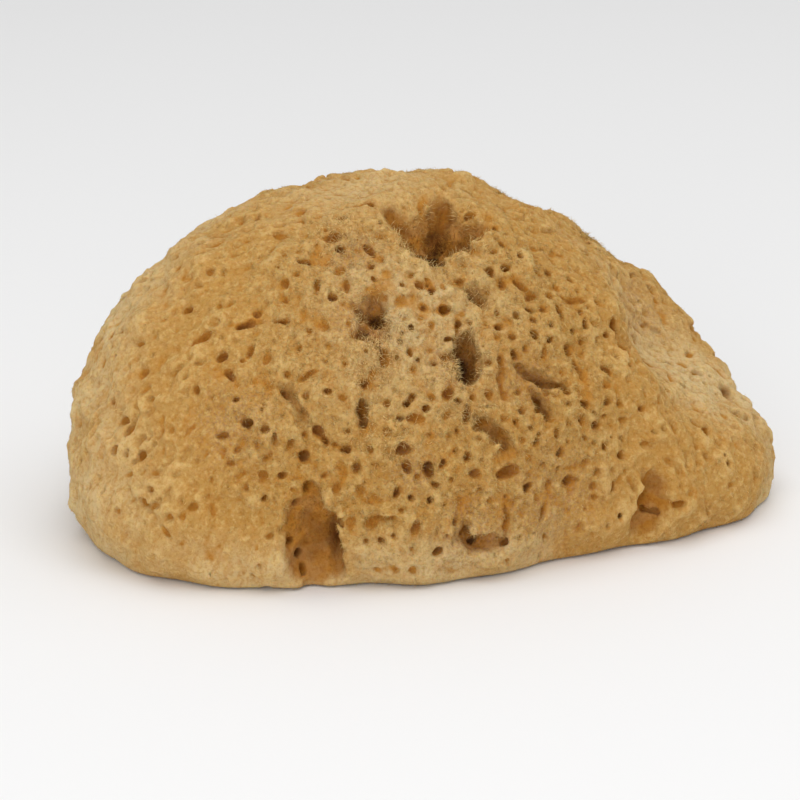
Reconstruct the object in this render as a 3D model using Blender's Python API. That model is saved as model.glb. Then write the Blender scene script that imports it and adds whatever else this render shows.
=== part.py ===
"""A natural bath sponge, trimmed flat where it was cut from the rock, in metres with +Z up.

The sponge is one solid. Its smooth form is a rounded block that widens a little above the cut base,
with gentle swells where the real one bulges or falls away. The large outlets, the clefts and the
biggest pores are cut out of that form. Places on the form are given as seen from its centre: a
bearing in degrees round from the front (positive to the viewer's right) and a climb in degrees up
from the level of the centre.
"""

import math
import random
from dataclasses import dataclass

import bmesh
import bpy
from mathutils import Matrix, Vector

MM = 0.001

# Overall size
LENGTH = 130 * MM
DEPTH = 92 * MM
HEIGHT = 64 * MM

# Smooth form, before it is stretched to the overall size
CENTRE_HEIGHT = 12 * MM
SKIRT_REACH = 31 * MM
PLAN_SQUARENESS = 2.2
SIDE_SQUARENESS = 1.9
FORM_SUBDIVISIONS = 5

# Soft lumps all over the form
LUMP_WAVES = 7
LUMP_RISE = 0.3 * MM
SHORTEST_LUMP = 11 * MM
LUMP_STEP = 1.7 * MM

# Scoops of the hollows
SCOOP_SEGMENTS = 12
SCOOP_RINGS = 7

# Bores: their radii at the bottom and at the top are shares of the width
BORE_SIDES = 6
BORE_BOTTOM = 0.28
BORE_TOP = 0.62

# Scattered pores, and how far chance moves each one round and up from an even spread, in degrees
SCATTER_COUNT = 142
SCATTER_SEED = 7
SCATTER_ROUND = 5
SCATTER_UP = 3
SCATTER_DEPTH_IN_WIDTHS = 1.6
PORE_WIDTHS = (1.7 * MM, 2.6 * MM)
PORE_CLEARANCE = 1.1 * MM
LOWEST_PORE = 4.5 * MM

# Channels that open in the cut base
BASE_CHANNELS = 11
BASE_CHANNEL_WIDTHS = (3.0 * MM, 5.0 * MM)
BASE_CHANNEL_DEPTH = 6 * MM
BASE_RING = 0.62

GOLDEN_ANGLE = math.pi * (3 - math.sqrt(5))
SHARP_EDGE = math.radians(38)


@dataclass(frozen=True)
class Swell:
    """A bulge of the form, or a fall where rise is negative: rise is a share of the reach there."""

    bearing: float
    climb: float
    spread: float
    rise: float


@dataclass(frozen=True)
class Hollow:
    """An oval scoop in the surface. Its length runs downhill, turned anticlockwise by turn degrees.

    The more its middle stands off the surface, by lift, the more its walls slope.
    """

    name: str
    bearing: float
    climb: float
    width: float
    length: float
    depth: float
    turn: float = 0.0
    lift: float = 0.0

    @property
    def radii(self):
        """Half the width, the length and the depth of the whole ellipsoid."""
        tall = self.depth + self.lift
        wider = 1 / math.sqrt(1 - (self.lift / tall) ** 2)
        return Vector((self.width / 2 * wider, self.length / 2 * wider, tall))


@dataclass(frozen=True)
class Bore:
    """A narrowing round hole: the throat of an outlet, or a pore."""

    name: str
    bearing: float
    climb: float
    width: float
    depth: float


SWELLS = (
    Swell(-45, 5, 24, 0.13),
    Swell(-48, -18, 16, 0.11),
    Swell(50, -5, 26, -0.14),
    Swell(89, -12, 17, 0.20),
    Swell(75, 42, 22, -0.05),
    Swell(-75, 45, 24, 0.08),
    Swell(20, 75, 24, 0.07),
    Swell(90, 24, 13, -0.17),
    Swell(12, -20, 20, 0.06),
    Swell(-82, 24, 11, 0.02),
    Swell(118, 54, 11, -0.04),
    Swell(110, 17, 11, 0.04),
    Swell(-95, 10, 16, -0.03),
    Swell(150, 15, 28, 0.07),
    Swell(-140, 20, 24, -0.07),
    Swell(-165, -5, 18, 0.08),
)

HOLLOWS = (
    Hollow("crown_outlet", 11, 67.5, 13 * MM, 12.5 * MM, 5.0 * MM, lift=3.0 * MM),
    Hollow("crown_left_arm", -3, 68, 5.4 * MM, 13 * MM, 4.4 * MM, turn=36, lift=3.0 * MM),
    Hollow("crown_far_arm", 14, 70.5, 5.2 * MM, 17 * MM, 6.4 * MM, turn=-24, lift=4.0 * MM),
    Hollow("crown_right_arm", 23, 66, 5.4 * MM, 13 * MM, 4.8 * MM, turn=-71, lift=3.0 * MM),
    Hollow("left_outlet", -13.5, 48.8, 5.8 * MM, 6.8 * MM, 4.6 * MM, turn=-30, lift=1.0 * MM),
    Hollow("left_outlet_foot", -10.5, 44.5, 5.8 * MM, 5.8 * MM, 2.4 * MM, lift=1.5 * MM),
    Hollow("slit_outlet", 15.4, 38.5, 5.0 * MM, 10.5 * MM, 6.5 * MM, turn=-6, lift=0.6 * MM),
    Hollow("side_outlet", 22.5, 52, 4.2 * MM, 5.6 * MM, 3.2 * MM, turn=20, lift=0.8 * MM),
    Hollow("gouge", 35, 32.5, 2.6 * MM, 12 * MM, 2.6 * MM, turn=56),
    Hollow("tee_pit", 34.5, 25.5, 3.2 * MM, 5.4 * MM, 3.6 * MM, turn=10),
    Hollow("crescent", 20, 22, 3.2 * MM, 9.5 * MM, 3.4 * MM, turn=48),
    Hollow("front_cleft", -20.5, -3, 9.4 * MM, 29 * MM, 5.6 * MM, turn=3, lift=2.5 * MM),
    Hollow("right_cleft", 59.5, -4, 6.0 * MM, 18 * MM, 5.4 * MM, turn=-5, lift=1.0 * MM),
    Hollow("smile", 16, -4.5, 3.6 * MM, 9.5 * MM, 3.4 * MM, turn=86),
    Hollow("upright_pit", -13, 26.5, 2.8 * MM, 5.0 * MM, 4.0 * MM),
    Hollow("slanting_furrow", -25.5, 24, 2.6 * MM, 12 * MM, 1.9 * MM, turn=39),
    Hollow("arc_furrow", 67, 33, 1.9 * MM, 9.0 * MM, 1.8 * MM, turn=35),
    Hollow("edge_notch", 94, 8, 2.4 * MM, 5.0 * MM, 2.8 * MM, turn=70),
    Hollow("rear_outlet", 168, 44, 8.0 * MM, 9.5 * MM, 5.5 * MM, turn=12),
    Hollow("rear_slit", -158, 24, 4.2 * MM, 10 * MM, 5.0 * MM, turn=-22),
    Hollow("rear_cleft", -147, -2, 6.0 * MM, 20 * MM, 6.0 * MM, turn=6),
    Hollow("rear_gouge", 136, 18, 3.4 * MM, 10 * MM, 3.0 * MM, turn=35),
    Hollow("far_left_outlet", -104, 38, 4.6 * MM, 6.5 * MM, 3.6 * MM, turn=-30),
    Hollow("far_right_outlet", 112, 46, 4.4 * MM, 6.0 * MM, 3.6 * MM, turn=25),
)

THROATS = (
    Bore("crown_throat", 7, 63, 6.0 * MM, 15 * MM),
    Bore("left_throat", -13.5, 48.5, 3.4 * MM, 9 * MM),
    Bore("slit_throat", 15.5, 38.5, 3.2 * MM, 12 * MM),
    Bore("cleft_throat", -17.5, 0, 3.2 * MM, 10 * MM),
    Bore("rear_throat", 167, 43, 4.4 * MM, 13 * MM),
)

# The large pores that stand out on the front: bearing, climb and width in millimetres
FRONT_PORE_DEPTH_IN_WIDTHS = 2
FRONT_PORES = (
    (-58, 36, 2.0), (-43, 38, 2.4), (-50, 33, 2.3), (-44, 31, 2.0), (-41, 28, 1.8),
    (-46, 23.5, 1.8), (-58, 23.5, 2.1), (-58, 14.5, 2.0), (-34, 20.5, 2.4), (-29, 27, 2.0),
    (-52, 11, 1.9), (-41, 4.5, 1.9), (-30, 11, 1.9), (-36, 13.5, 1.8), (-49, 3.5, 1.9),
    (-38, 54, 1.9), (-35, 61, 2.3), (-25, 48.5, 1.9), (9, 49, 2.0), (6, 53, 1.8),
    (36.5, 56, 2.0), (8.5, 31, 2.2), (-1, 30, 2.1), (-12.5, 32.5, 1.9), (-0.5, 26, 2.1),
    (-24, 16, 2.4), (-2.5, 18.5, 2.6), (3.5, 14.5, 2.4), (-2, 14.5, 2.2), (14.5, 12.5, 2.1),
    (-15.5, 18.5, 1.9), (24, 12.5, 2.8), (27.5, 7.5, 1.9), (46.5, 35.5, 2.1), (36, 41, 2.0),
    (54.5, 39, 1.8), (47.5, 18, 2.0), (53, 9.5, 1.9), (39, 6, 2.0), (5.5, -5.5, 2.0),
    (62.5, -3, 2.1), (75, 7.5, 2.4), (40, 52, 2.2), (-26.5, 71.5, 1.9), (-3.5, 9, 1.9),
)


def clear_scene():
    for old in list(bpy.data.objects):
        bpy.data.objects.remove(old)


def new_collection(name):
    collection = bpy.data.collections.new(name)
    bpy.context.scene.collection.children.link(collection)
    return collection


def direction_of(bearing, climb):
    """The unit direction from the form's centre, from angles in degrees."""
    b, c = math.radians(bearing), math.radians(climb)
    return Vector((math.sin(b) * math.cos(c), -math.cos(b) * math.cos(c), math.sin(c)))


def point_on_spiral(index, count):
    """One of count directions spread evenly over a sphere by the golden angle."""
    z = 1 - 2 * (index + 0.5) / count
    ring = math.sqrt(1 - z * z)
    return Vector((ring * math.cos(index * GOLDEN_ANGLE), ring * math.sin(index * GOLDEN_ANGLE), z))


def lump_at(point):
    """How far the soft lumps raise the surface near a point."""
    rise = 0.0
    for k in range(LUMP_WAVES):
        wavelength = SHORTEST_LUMP + k * LUMP_STEP
        rise += math.sin(math.tau * point.dot(point_on_spiral(k, LUMP_WAVES)) / wavelength + k)
    return LUMP_RISE * rise


def reach(direction):
    """How far the form goes from its centre along a unit direction."""
    upward = HEIGHT - CENTRE_HEIGHT if direction.z > 0 else SKIRT_REACH
    plan = abs(2 * direction.x / LENGTH) ** PLAN_SQUARENESS + abs(2 * direction.y / DEPTH) ** PLAN_SQUARENESS
    upright = abs(direction.z / upward) ** SIDE_SQUARENESS
    distance = (plan ** (SIDE_SQUARENESS / PLAN_SQUARENESS) + upright) ** (-1 / SIDE_SQUARENESS)
    for swell in SWELLS:
        away = direction.angle(direction_of(swell.bearing, swell.climb))
        distance *= 1 + swell.rise * math.exp(-0.5 * (away / math.radians(swell.spread)) ** 2)
    return distance + lump_at(direction * distance)


def grown_form():
    """The form as a mesh cut flat at the base, and the matrix that stretched it to its overall size."""
    grown = bmesh.new()
    bmesh.ops.create_icosphere(grown, subdivisions=FORM_SUBDIVISIONS, radius=1)
    for vertex in grown.verts:
        outward = vertex.co.normalized()
        vertex.co = outward * reach(outward)
    cut = bmesh.ops.bisect_plane(
        grown,
        geom=grown.verts[:] + grown.edges[:] + grown.faces[:],
        plane_co=(0, 0, -CENTRE_HEIGHT),
        plane_no=(0, 0, -1),
        clear_outer=True,
    )
    rim = [piece for piece in cut["geom_cut"] if isinstance(piece, bmesh.types.BMEdge)]
    bmesh.ops.contextual_create(grown, geom=rim)
    bmesh.ops.recalc_face_normals(grown, faces=grown.faces)

    low = Vector([min(v.co[i] for v in grown.verts) for i in range(3)])
    high = Vector([max(v.co[i] for v in grown.verts) for i in range(3)])
    middle = Vector(((low.x + high.x) / 2, (low.y + high.y) / 2, low.z))
    stretch = [size / extent for size, extent in zip((LENGTH, DEPTH, HEIGHT), high - low)]
    fit = Matrix.Diagonal((*stretch, 1)) @ Matrix.Translation(-middle)
    grown.transform(fit)

    mesh = bpy.data.meshes.new("sponge")
    grown.to_mesh(mesh)
    grown.free()
    return mesh, fit


def place_on(fit, bearing, climb, turn=0.0):
    """The frame at a spot on the form: X across, Y uphill, Z straight out, X and Y turned by turn degrees."""
    outward = direction_of(bearing, climb)
    across = direction_of(bearing + 90, 0)
    uphill = outward.cross(across)
    axes = Matrix((across, uphill, outward)).transposed().to_4x4()
    spot = fit @ (outward * reach(outward))
    return Matrix.Translation(spot) @ axes @ Matrix.Rotation(math.radians(turn), 4, "Z")


def add_cutter(cutters, name, shape, matrix):
    """Puts a mesh made in its own frame among the cutters."""
    mesh = bpy.data.meshes.new(name)
    shape.to_mesh(mesh)
    shape.free()
    cutter = bpy.data.objects.new(name, mesh)
    cutter.matrix_world = matrix
    cutter.hide_render = True
    cutter.display_type = "WIRE"
    cutters.objects.link(cutter)


def cut_hollow(cutters, fit, hollow):
    """An ellipsoid over the surface leaves an oval scoop."""
    scoop = bmesh.new()
    bmesh.ops.create_uvsphere(scoop, u_segments=SCOOP_SEGMENTS, v_segments=SCOOP_RINGS, radius=1)
    bmesh.ops.scale(scoop, vec=hollow.radii, verts=scoop.verts)
    bmesh.ops.translate(scoop, vec=(0, 0, hollow.lift), verts=scoop.verts)
    add_cutter(cutters, hollow.name, scoop, place_on(fit, hollow.bearing, hollow.climb, hollow.turn))


def cut_bore(cutters, name, matrix, width, depth):
    """A cone that narrows inwards. Its wide end stands clear of the surface by its own width."""
    cone = bmesh.new()
    bmesh.ops.create_cone(
        cone,
        cap_ends=True,
        segments=BORE_SIDES,
        radius1=width * BORE_BOTTOM,
        radius2=width * BORE_TOP,
        depth=depth + width,
    )
    bmesh.ops.translate(cone, vec=(0, 0, (width - depth) / 2), verts=cone.verts)
    add_cutter(cutters, name, cone, matrix)


def scattered_pores(fit):
    """Pores spread over the rest of the surface, clear of the hollows and of the pores placed by hand."""
    draw = random.Random(SCATTER_SEED)
    taken = [(place_on(fit, h.bearing, h.climb).translation, max(h.width, h.length) / 2) for h in HOLLOWS]
    taken += [(place_on(fit, b, c).translation, width * MM / 2) for b, c, width in FRONT_PORES]
    found = []
    for index in range(SCATTER_COUNT):
        outward = point_on_spiral(index, SCATTER_COUNT)
        bearing = math.degrees(math.atan2(outward.x, -outward.y))
        bearing += draw.uniform(-SCATTER_ROUND, SCATTER_ROUND)
        climb = math.degrees(math.asin(outward.z))
        climb += draw.uniform(-SCATTER_UP, SCATTER_UP)
        width = draw.uniform(*PORE_WIDTHS)
        frame = place_on(fit, bearing, climb, turn=draw.uniform(0, 360 / BORE_SIDES))
        spot = frame.translation
        if spot.z < LOWEST_PORE:
            continue
        if all((spot - other).length > radius + width / 2 + PORE_CLEARANCE for other, radius in taken):
            taken.append((spot, width / 2))
            found.append((frame, width))
    return found


def cut_base_channels(cutters):
    """Upright channels open in the cut base, on a spiral that leaves its middle whole."""
    draw = random.Random(SCATTER_SEED + 1)
    for index in range(BASE_CHANNELS):
        share = BASE_RING * math.sqrt((index + 1.5) / BASE_CHANNELS)
        angle = index * GOLDEN_ANGLE
        spot = Vector((share * LENGTH / 2 * math.cos(angle), share * DEPTH / 2 * math.sin(angle), 0))
        upside_down = Matrix.Translation(spot) @ Matrix.Rotation(math.pi, 4, "X")
        width = draw.uniform(*BASE_CHANNEL_WIDTHS)
        cut_bore(cutters, f"base_channel_{index}", upside_down, width, BASE_CHANNEL_DEPTH)


def sponge_material():
    material = bpy.data.materials.new("ochre_sponge")
    material.use_nodes = True
    surface = material.node_tree.nodes["Principled BSDF"]
    surface.inputs["Base Color"].default_value = (0.50, 0.30, 0.105, 1)
    surface.inputs["Roughness"].default_value = 0.92
    surface.inputs["Metallic"].default_value = 0.0
    return material


def carve(sponge, cutters):
    """Takes every cutter out of the sponge at once and keeps the carved mesh."""
    hollowing = sponge.modifiers.new("hollows_and_pores", "BOOLEAN")
    hollowing.operation = "DIFFERENCE"
    hollowing.operand_type = "COLLECTION"
    hollowing.collection = cutters
    hollowing.solver = "EXACT"
    graph = bpy.context.evaluated_depsgraph_get()
    carved = bpy.data.meshes.new_from_object(sponge.evaluated_get(graph))
    sponge.modifiers.clear()
    sponge.data = carved
    carved.shade_smooth()
    carved.set_sharp_from_angle(angle=SHARP_EDGE)


def main():
    clear_scene()
    parts = new_collection("sea_sponge")
    cutters = new_collection("cutters")

    form, fit = grown_form()
    form.materials.append(sponge_material())
    sponge = bpy.data.objects.new("sponge", form)
    parts.objects.link(sponge)

    for hollow in HOLLOWS:
        cut_hollow(cutters, fit, hollow)
    for throat in THROATS:
        mouth = place_on(fit, throat.bearing, throat.climb)
        cut_bore(cutters, throat.name, mouth, throat.width, throat.depth)
    for index, (bearing, climb, millimetres) in enumerate(FRONT_PORES):
        width = millimetres * MM
        depth = width * FRONT_PORE_DEPTH_IN_WIDTHS
        cut_bore(cutters, f"front_pore_{index}", place_on(fit, bearing, climb), width, depth)
    for index, (frame, width) in enumerate(scattered_pores(fit)):
        cut_bore(cutters, f"pore_{index}", frame, width, width * SCATTER_DEPTH_IN_WIDTHS)
    cut_base_channels(cutters)
    carve(sponge, cutters)


main()
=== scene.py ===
"""The looks of a natural bath sponge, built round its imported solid, in metres with +Z up.

The tissue is a field of signed distances on a fine grid: the grown form, less the outlets and clefts,
roughened, less some thousands of pores. The field becomes one closed mesh, and a nap of short fibres
and longer hairs is sown on it. Places on the form are given as seen from its centre: a bearing in
degrees round from the front, positive to the viewer's right, and a climb in degrees up from the level
of the centre.
"""

import logging
import math
from dataclasses import dataclass, replace
from enum import Enum, IntEnum
from functools import cached_property

import bpy
import numpy as np
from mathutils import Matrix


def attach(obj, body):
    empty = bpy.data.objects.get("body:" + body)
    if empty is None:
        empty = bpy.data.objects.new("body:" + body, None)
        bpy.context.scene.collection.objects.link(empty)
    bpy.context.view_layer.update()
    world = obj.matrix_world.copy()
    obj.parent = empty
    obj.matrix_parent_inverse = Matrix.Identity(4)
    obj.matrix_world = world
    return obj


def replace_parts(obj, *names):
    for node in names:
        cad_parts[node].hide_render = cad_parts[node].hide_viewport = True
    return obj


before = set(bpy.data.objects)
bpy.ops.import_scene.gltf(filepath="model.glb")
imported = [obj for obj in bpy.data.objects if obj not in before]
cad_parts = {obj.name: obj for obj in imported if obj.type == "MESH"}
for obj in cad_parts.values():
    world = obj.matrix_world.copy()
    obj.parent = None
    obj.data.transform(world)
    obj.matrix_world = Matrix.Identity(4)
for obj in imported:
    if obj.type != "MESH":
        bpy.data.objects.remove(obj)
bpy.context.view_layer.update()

import openvdb
from mathutils import Matrix, Vector

MM = 0.001
NODE = "sponge"
BODY = "root"
GOLDEN_ANGLE = math.pi * (3 - math.sqrt(5))
TINY = 1e-9
JUST_OVER_ONE = 1.001

log = logging.getLogger("sea_sponge")


class Chance(IntEnum):
    """The runs of chance in the tissue, each a number that is added to its seed."""

    COARSE_BUMPS = 1
    BUMPS = 2
    FINE_BUMPS = 3
    WIDE_WANDER = 5
    NARROW_WANDER = 6
    STREAKS = 7
    PATCHES = 8
    PORES = 30
    PITS = 31
    HOLLOW_WALLS = 40
    PORE_WALLS = 50


@dataclass(frozen=True)
class Swell:
    """A bulge of the form, or a fall where rise is negative: rise is a share of the reach there."""

    bearing: float
    climb: float
    spread: float
    rise: float


@dataclass(frozen=True)
class Hollow:
    """An oval scoop in the surface. Its length runs downhill, turned anticlockwise by turn degrees.

    The more its middle stands off the surface, by lift, the more its walls slope.
    """

    name: str
    bearing: float
    climb: float
    width: float
    length: float
    depth: float
    turn: float = 0.0
    lift: float = 0.0
    hairy: bool = False

    @property
    def radii(self) -> np.ndarray:
        """Half the width, the length and the depth of the whole ellipsoid."""
        tall = self.depth + self.lift
        wider = 1 / math.sqrt(1 - (self.lift / tall) ** 2)
        return np.array((self.width / 2 * wider, self.length / 2 * wider, tall))


SWELLS = (
    Swell(-45, 5, 24, 0.13),
    Swell(-48, -18, 16, 0.11),
    Swell(50, -5, 26, -0.14),
    Swell(89, -12, 17, 0.20),
    Swell(75, 42, 22, -0.05),
    Swell(-75, 45, 24, 0.08),
    Swell(20, 75, 24, 0.07),
    Swell(90, 24, 13, -0.17),
    Swell(12, -20, 20, 0.06),
    Swell(-82, 24, 11, 0.02),
    Swell(118, 54, 11, -0.04),
    Swell(110, 17, 11, 0.04),
    Swell(-95, 10, 16, -0.03),
    Swell(150, 15, 28, 0.07),
    Swell(-140, 20, 24, -0.07),
    Swell(-165, -5, 18, 0.08),
)

HOLLOWS = (
    Hollow("crown_outlet", 11, 67.5, 13 * MM, 12.5 * MM, 5.0 * MM, lift=3.0 * MM, hairy=True),
    Hollow("crown_left_arm", -3, 68, 5.4 * MM, 13 * MM, 4.4 * MM, turn=36, lift=3.0 * MM),
    Hollow("crown_far_arm", 14, 70.5, 5.2 * MM, 17 * MM, 6.4 * MM, turn=-24, lift=4.0 * MM),
    Hollow("crown_right_arm", 23, 66, 5.4 * MM, 13 * MM, 4.8 * MM, turn=-71, lift=3.0 * MM),
    Hollow("left_outlet", -13.5, 48.8, 5.8 * MM, 6.8 * MM, 4.6 * MM, turn=-30, lift=1.0 * MM, hairy=True),
    Hollow("left_outlet_foot", -10.5, 44.5, 5.8 * MM, 5.8 * MM, 2.4 * MM, lift=1.5 * MM, hairy=True),
    Hollow("slit_outlet", 15.4, 38.5, 5.0 * MM, 10.5 * MM, 6.5 * MM, turn=-6, lift=0.6 * MM, hairy=True),
    Hollow("slit_side", 14, 37, 2.4 * MM, 5.0 * MM, 3.6 * MM, turn=20),
    Hollow("side_outlet", 22.5, 52, 4.2 * MM, 5.6 * MM, 3.2 * MM, turn=20, lift=0.8 * MM, hairy=True),
    Hollow("gouge", 35, 32.5, 2.6 * MM, 12 * MM, 2.6 * MM, turn=56),
    Hollow("tee_pit", 34.5, 25.5, 3.2 * MM, 5.4 * MM, 3.6 * MM, turn=10),
    Hollow("crescent", 20, 22, 3.2 * MM, 9.5 * MM, 3.4 * MM, turn=48),
    Hollow("front_cleft", -20.5, -3, 9.4 * MM, 29 * MM, 5.6 * MM, turn=3, lift=2.5 * MM),
    Hollow("right_cleft", 59.5, -4, 6.0 * MM, 18 * MM, 5.4 * MM, turn=-5, lift=1.0 * MM),
    Hollow("smile", 16, -4.5, 3.6 * MM, 9.5 * MM, 3.4 * MM, turn=86),
    Hollow("smile_left_end", 11.5, -1, 2.6 * MM, 5.5 * MM, 2.2 * MM, turn=-25),
    Hollow("upright_pit", -13, 26.5, 2.8 * MM, 5.0 * MM, 4.0 * MM),
    Hollow("slanting_furrow", -25.5, 24, 2.6 * MM, 12 * MM, 1.9 * MM, turn=39),
    Hollow("arc_furrow", 67, 33, 1.9 * MM, 9.0 * MM, 1.6 * MM, turn=35),
    Hollow("edge_notch", 94, 8, 2.4 * MM, 5.0 * MM, 2.8 * MM, turn=70),
    Hollow("rear_outlet", 168, 44, 8.0 * MM, 9.5 * MM, 5.5 * MM, turn=12, hairy=True),
    Hollow("rear_slit", -158, 24, 4.2 * MM, 10 * MM, 5.0 * MM, turn=-22),
    Hollow("rear_cleft", -147, -2, 6.0 * MM, 20 * MM, 6.0 * MM, turn=6),
    Hollow("rear_gouge", 136, 18, 3.4 * MM, 10 * MM, 3.0 * MM, turn=35),
    Hollow("far_left_outlet", -104, 38, 4.6 * MM, 6.5 * MM, 3.6 * MM, turn=-30, hairy=True),
    Hollow("far_right_outlet", 112, 46, 4.4 * MM, 6.0 * MM, 3.6 * MM, turn=25),
)

# The narrow throats and folds in the outlets and clefts, deeper than the hollows they open from
THROATS = (
    Hollow("crown_throat", 7, 63, 6.0 * MM, 6.4 * MM, 14 * MM),
    Hollow("crown_far_groove", 13, 68.5, 2.6 * MM, 11 * MM, 10 * MM, turn=-24),
    Hollow("left_throat", -13.5, 48.5, 4.0 * MM, 4.4 * MM, 9.0 * MM, turn=-20),
    Hollow("left_pocket", -15.5, 44, 2.6 * MM, 3.6 * MM, 6.0 * MM),
    Hollow("slit_throat", 16, 38, 2.8 * MM, 6.5 * MM, 12 * MM),
    Hollow("side_throat", 21.5, 53, 2.2 * MM, 4.0 * MM, 6.0 * MM, turn=20),
    Hollow("cleft_throat", -18, -4, 3.8 * MM, 16 * MM, 7.4 * MM, turn=4, lift=1.5 * MM),
    Hollow("cleft_left_pocket", -24, -7, 2.8 * MM, 9.0 * MM, 5.0 * MM, turn=8, lift=1.0 * MM),
    Hollow("cleft_top_fold", -22, 7, 2.4 * MM, 7.0 * MM, 4.0 * MM, turn=-14),
    Hollow("right_cleft_throat", 60, -3, 3.2 * MM, 9.0 * MM, 7.0 * MM, lift=1.0 * MM),
    Hollow("smile_throat", 13.5, -3.5, 2.0 * MM, 2.6 * MM, 5.0 * MM, turn=70),
    Hollow("gouge_fold", 37, 31, 1.6 * MM, 6.0 * MM, 4.2 * MM, turn=66),
    Hollow("rear_throat", 167, 43, 4.4 * MM, 4.4 * MM, 13 * MM),
)


@dataclass(frozen=True)
class Tuft:
    """A patch of long pale hairs: its place in pixels of the photograph, and its width in millimetres."""

    x: float
    y: float
    width: float
    thickness: float = 1.0


TUFTS = (
    Tuft(448, 250, 4.2, 1.6),
    Tuft(425, 262, 3.0, 1.0),
    Tuft(463, 243, 3.0, 1.2),
    Tuft(411, 248, 3.0, 0.5),
    Tuft(420, 228, 4.0, 0.3),
    Tuft(341, 236, 6.0, 0.5),
    Tuft(385, 320, 2.0),
    Tuft(361, 323, 2.5, 0.8),
    Tuft(367, 337, 3.0),
    Tuft(380, 346, 3.6),
    Tuft(394, 330, 3.4, 0.6),
    Tuft(374, 368, 4.0, 0.8),
    Tuft(455, 350, 2.2, 1.2),
    Tuft(454, 366, 2.8, 1.6),
    Tuft(471, 375, 2.2, 0.9),
    Tuft(468, 332, 2.6, 0.4),
    Tuft(474, 290, 2.0, 0.4),
    Tuft(478, 304, 2.4, 0.8),
    Tuft(388, 440, 6.0, 0.25),
    Tuft(468, 408, 4.0, 0.35),
)


@dataclass(frozen=True)
class Pit:
    """A pit of the photograph: its place in pixels of the frame and its size in millimetres.

    It leans to the right of upright by lean degrees.
    """

    x: float
    y: float
    width: float
    length: float
    lean: float = 0.0
    depth: float = 1.5


LEFT_PITS = (
    Pit(187, 310, 1.3, 2.0, 90, 1.8), Pit(211, 272, 1.3, 1.5, 80, 1.1), Pit(219, 306, 0.9, 1.8, -20, 1.1),
    Pit(245, 324, 1.2, 3.6, 70, 2.2), Pit(203, 337, 1.2, 3.2, 60, 1.6), Pit(222, 356, 1.4, 2.0, 45, 2.2),
    Pit(249, 351, 1.1, 2.6, 20, 1.6), Pit(228, 373, 1.3, 1.6, -20, 2.0), Pit(196, 390, 1.4, 1.4, 0, 1.8),
    Pit(142, 372, 1.7, 2.0, 60, 1.9), Pit(151, 400, 1.3, 1.5, 0, 1.0), Pit(137, 406, 0.9, 1.6, 0, 0.9),
    Pit(124, 421, 1.4, 2.2, 80, 1.6), Pit(247, 423, 1.6, 2.4, 80, 3.0), Pit(236, 399, 0.8, 1.2, 90, 1.4),
    Pit(263, 428, 1.2, 1.4, 60, 1.4), Pit(275, 438, 1.0, 2.6, 5, 1.3), Pit(281, 321, 0.9, 2.8, 85, 1.6),
    Pit(284, 283, 1.1, 1.6, 20, 1.4), Pit(272, 249, 0.9, 1.4, 10, 1.3), Pit(286, 396, 1.6, 1.9, -30, 1.8),
    Pit(188, 432, 0.9, 4.2, 50, 1.1), Pit(223, 436, 1.0, 2.6, 80, 1.2), Pit(170, 430, 1.1, 1.5, 0, 1.0),
    Pit(141, 455, 1.5, 1.7, -30, 1.7), Pit(126, 454, 1.1, 1.2, 0, 1.2), Pit(129, 474, 1.0, 2.2, 90, 0.9),
    Pit(152, 474, 0.9, 2.6, 85, 0.9), Pit(231, 463, 1.2, 1.6, 80, 1.3), Pit(263, 478, 1.4, 1.9, 10, 1.4),
    Pit(246, 488, 1.2, 1.5, 0, 1.0), Pit(192, 508, 1.5, 1.6, 0, 1.5), Pit(219, 498, 0.9, 1.3, 90, 1.1),
    Pit(143, 502, 1.2, 2.0, -50, 1.3), Pit(164, 532, 1.1, 3.2, -45, 1.2), Pit(269, 537, 1.1, 2.0, 50, 1.2),
    Pit(254, 578, 0.9, 1.9, -20, 1.0), Pit(212, 561, 1.1, 1.4, 0, 0.9), Pit(236, 450, 0.9, 1.2, 60, 0.9),
    Pit(175, 372, 0.7, 3.8, 62, 0.9), Pit(176, 328, 0.9, 1.6, 70, 0.9), Pit(139, 343, 1.0, 2.6, 100, 0.9),
)

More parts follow.
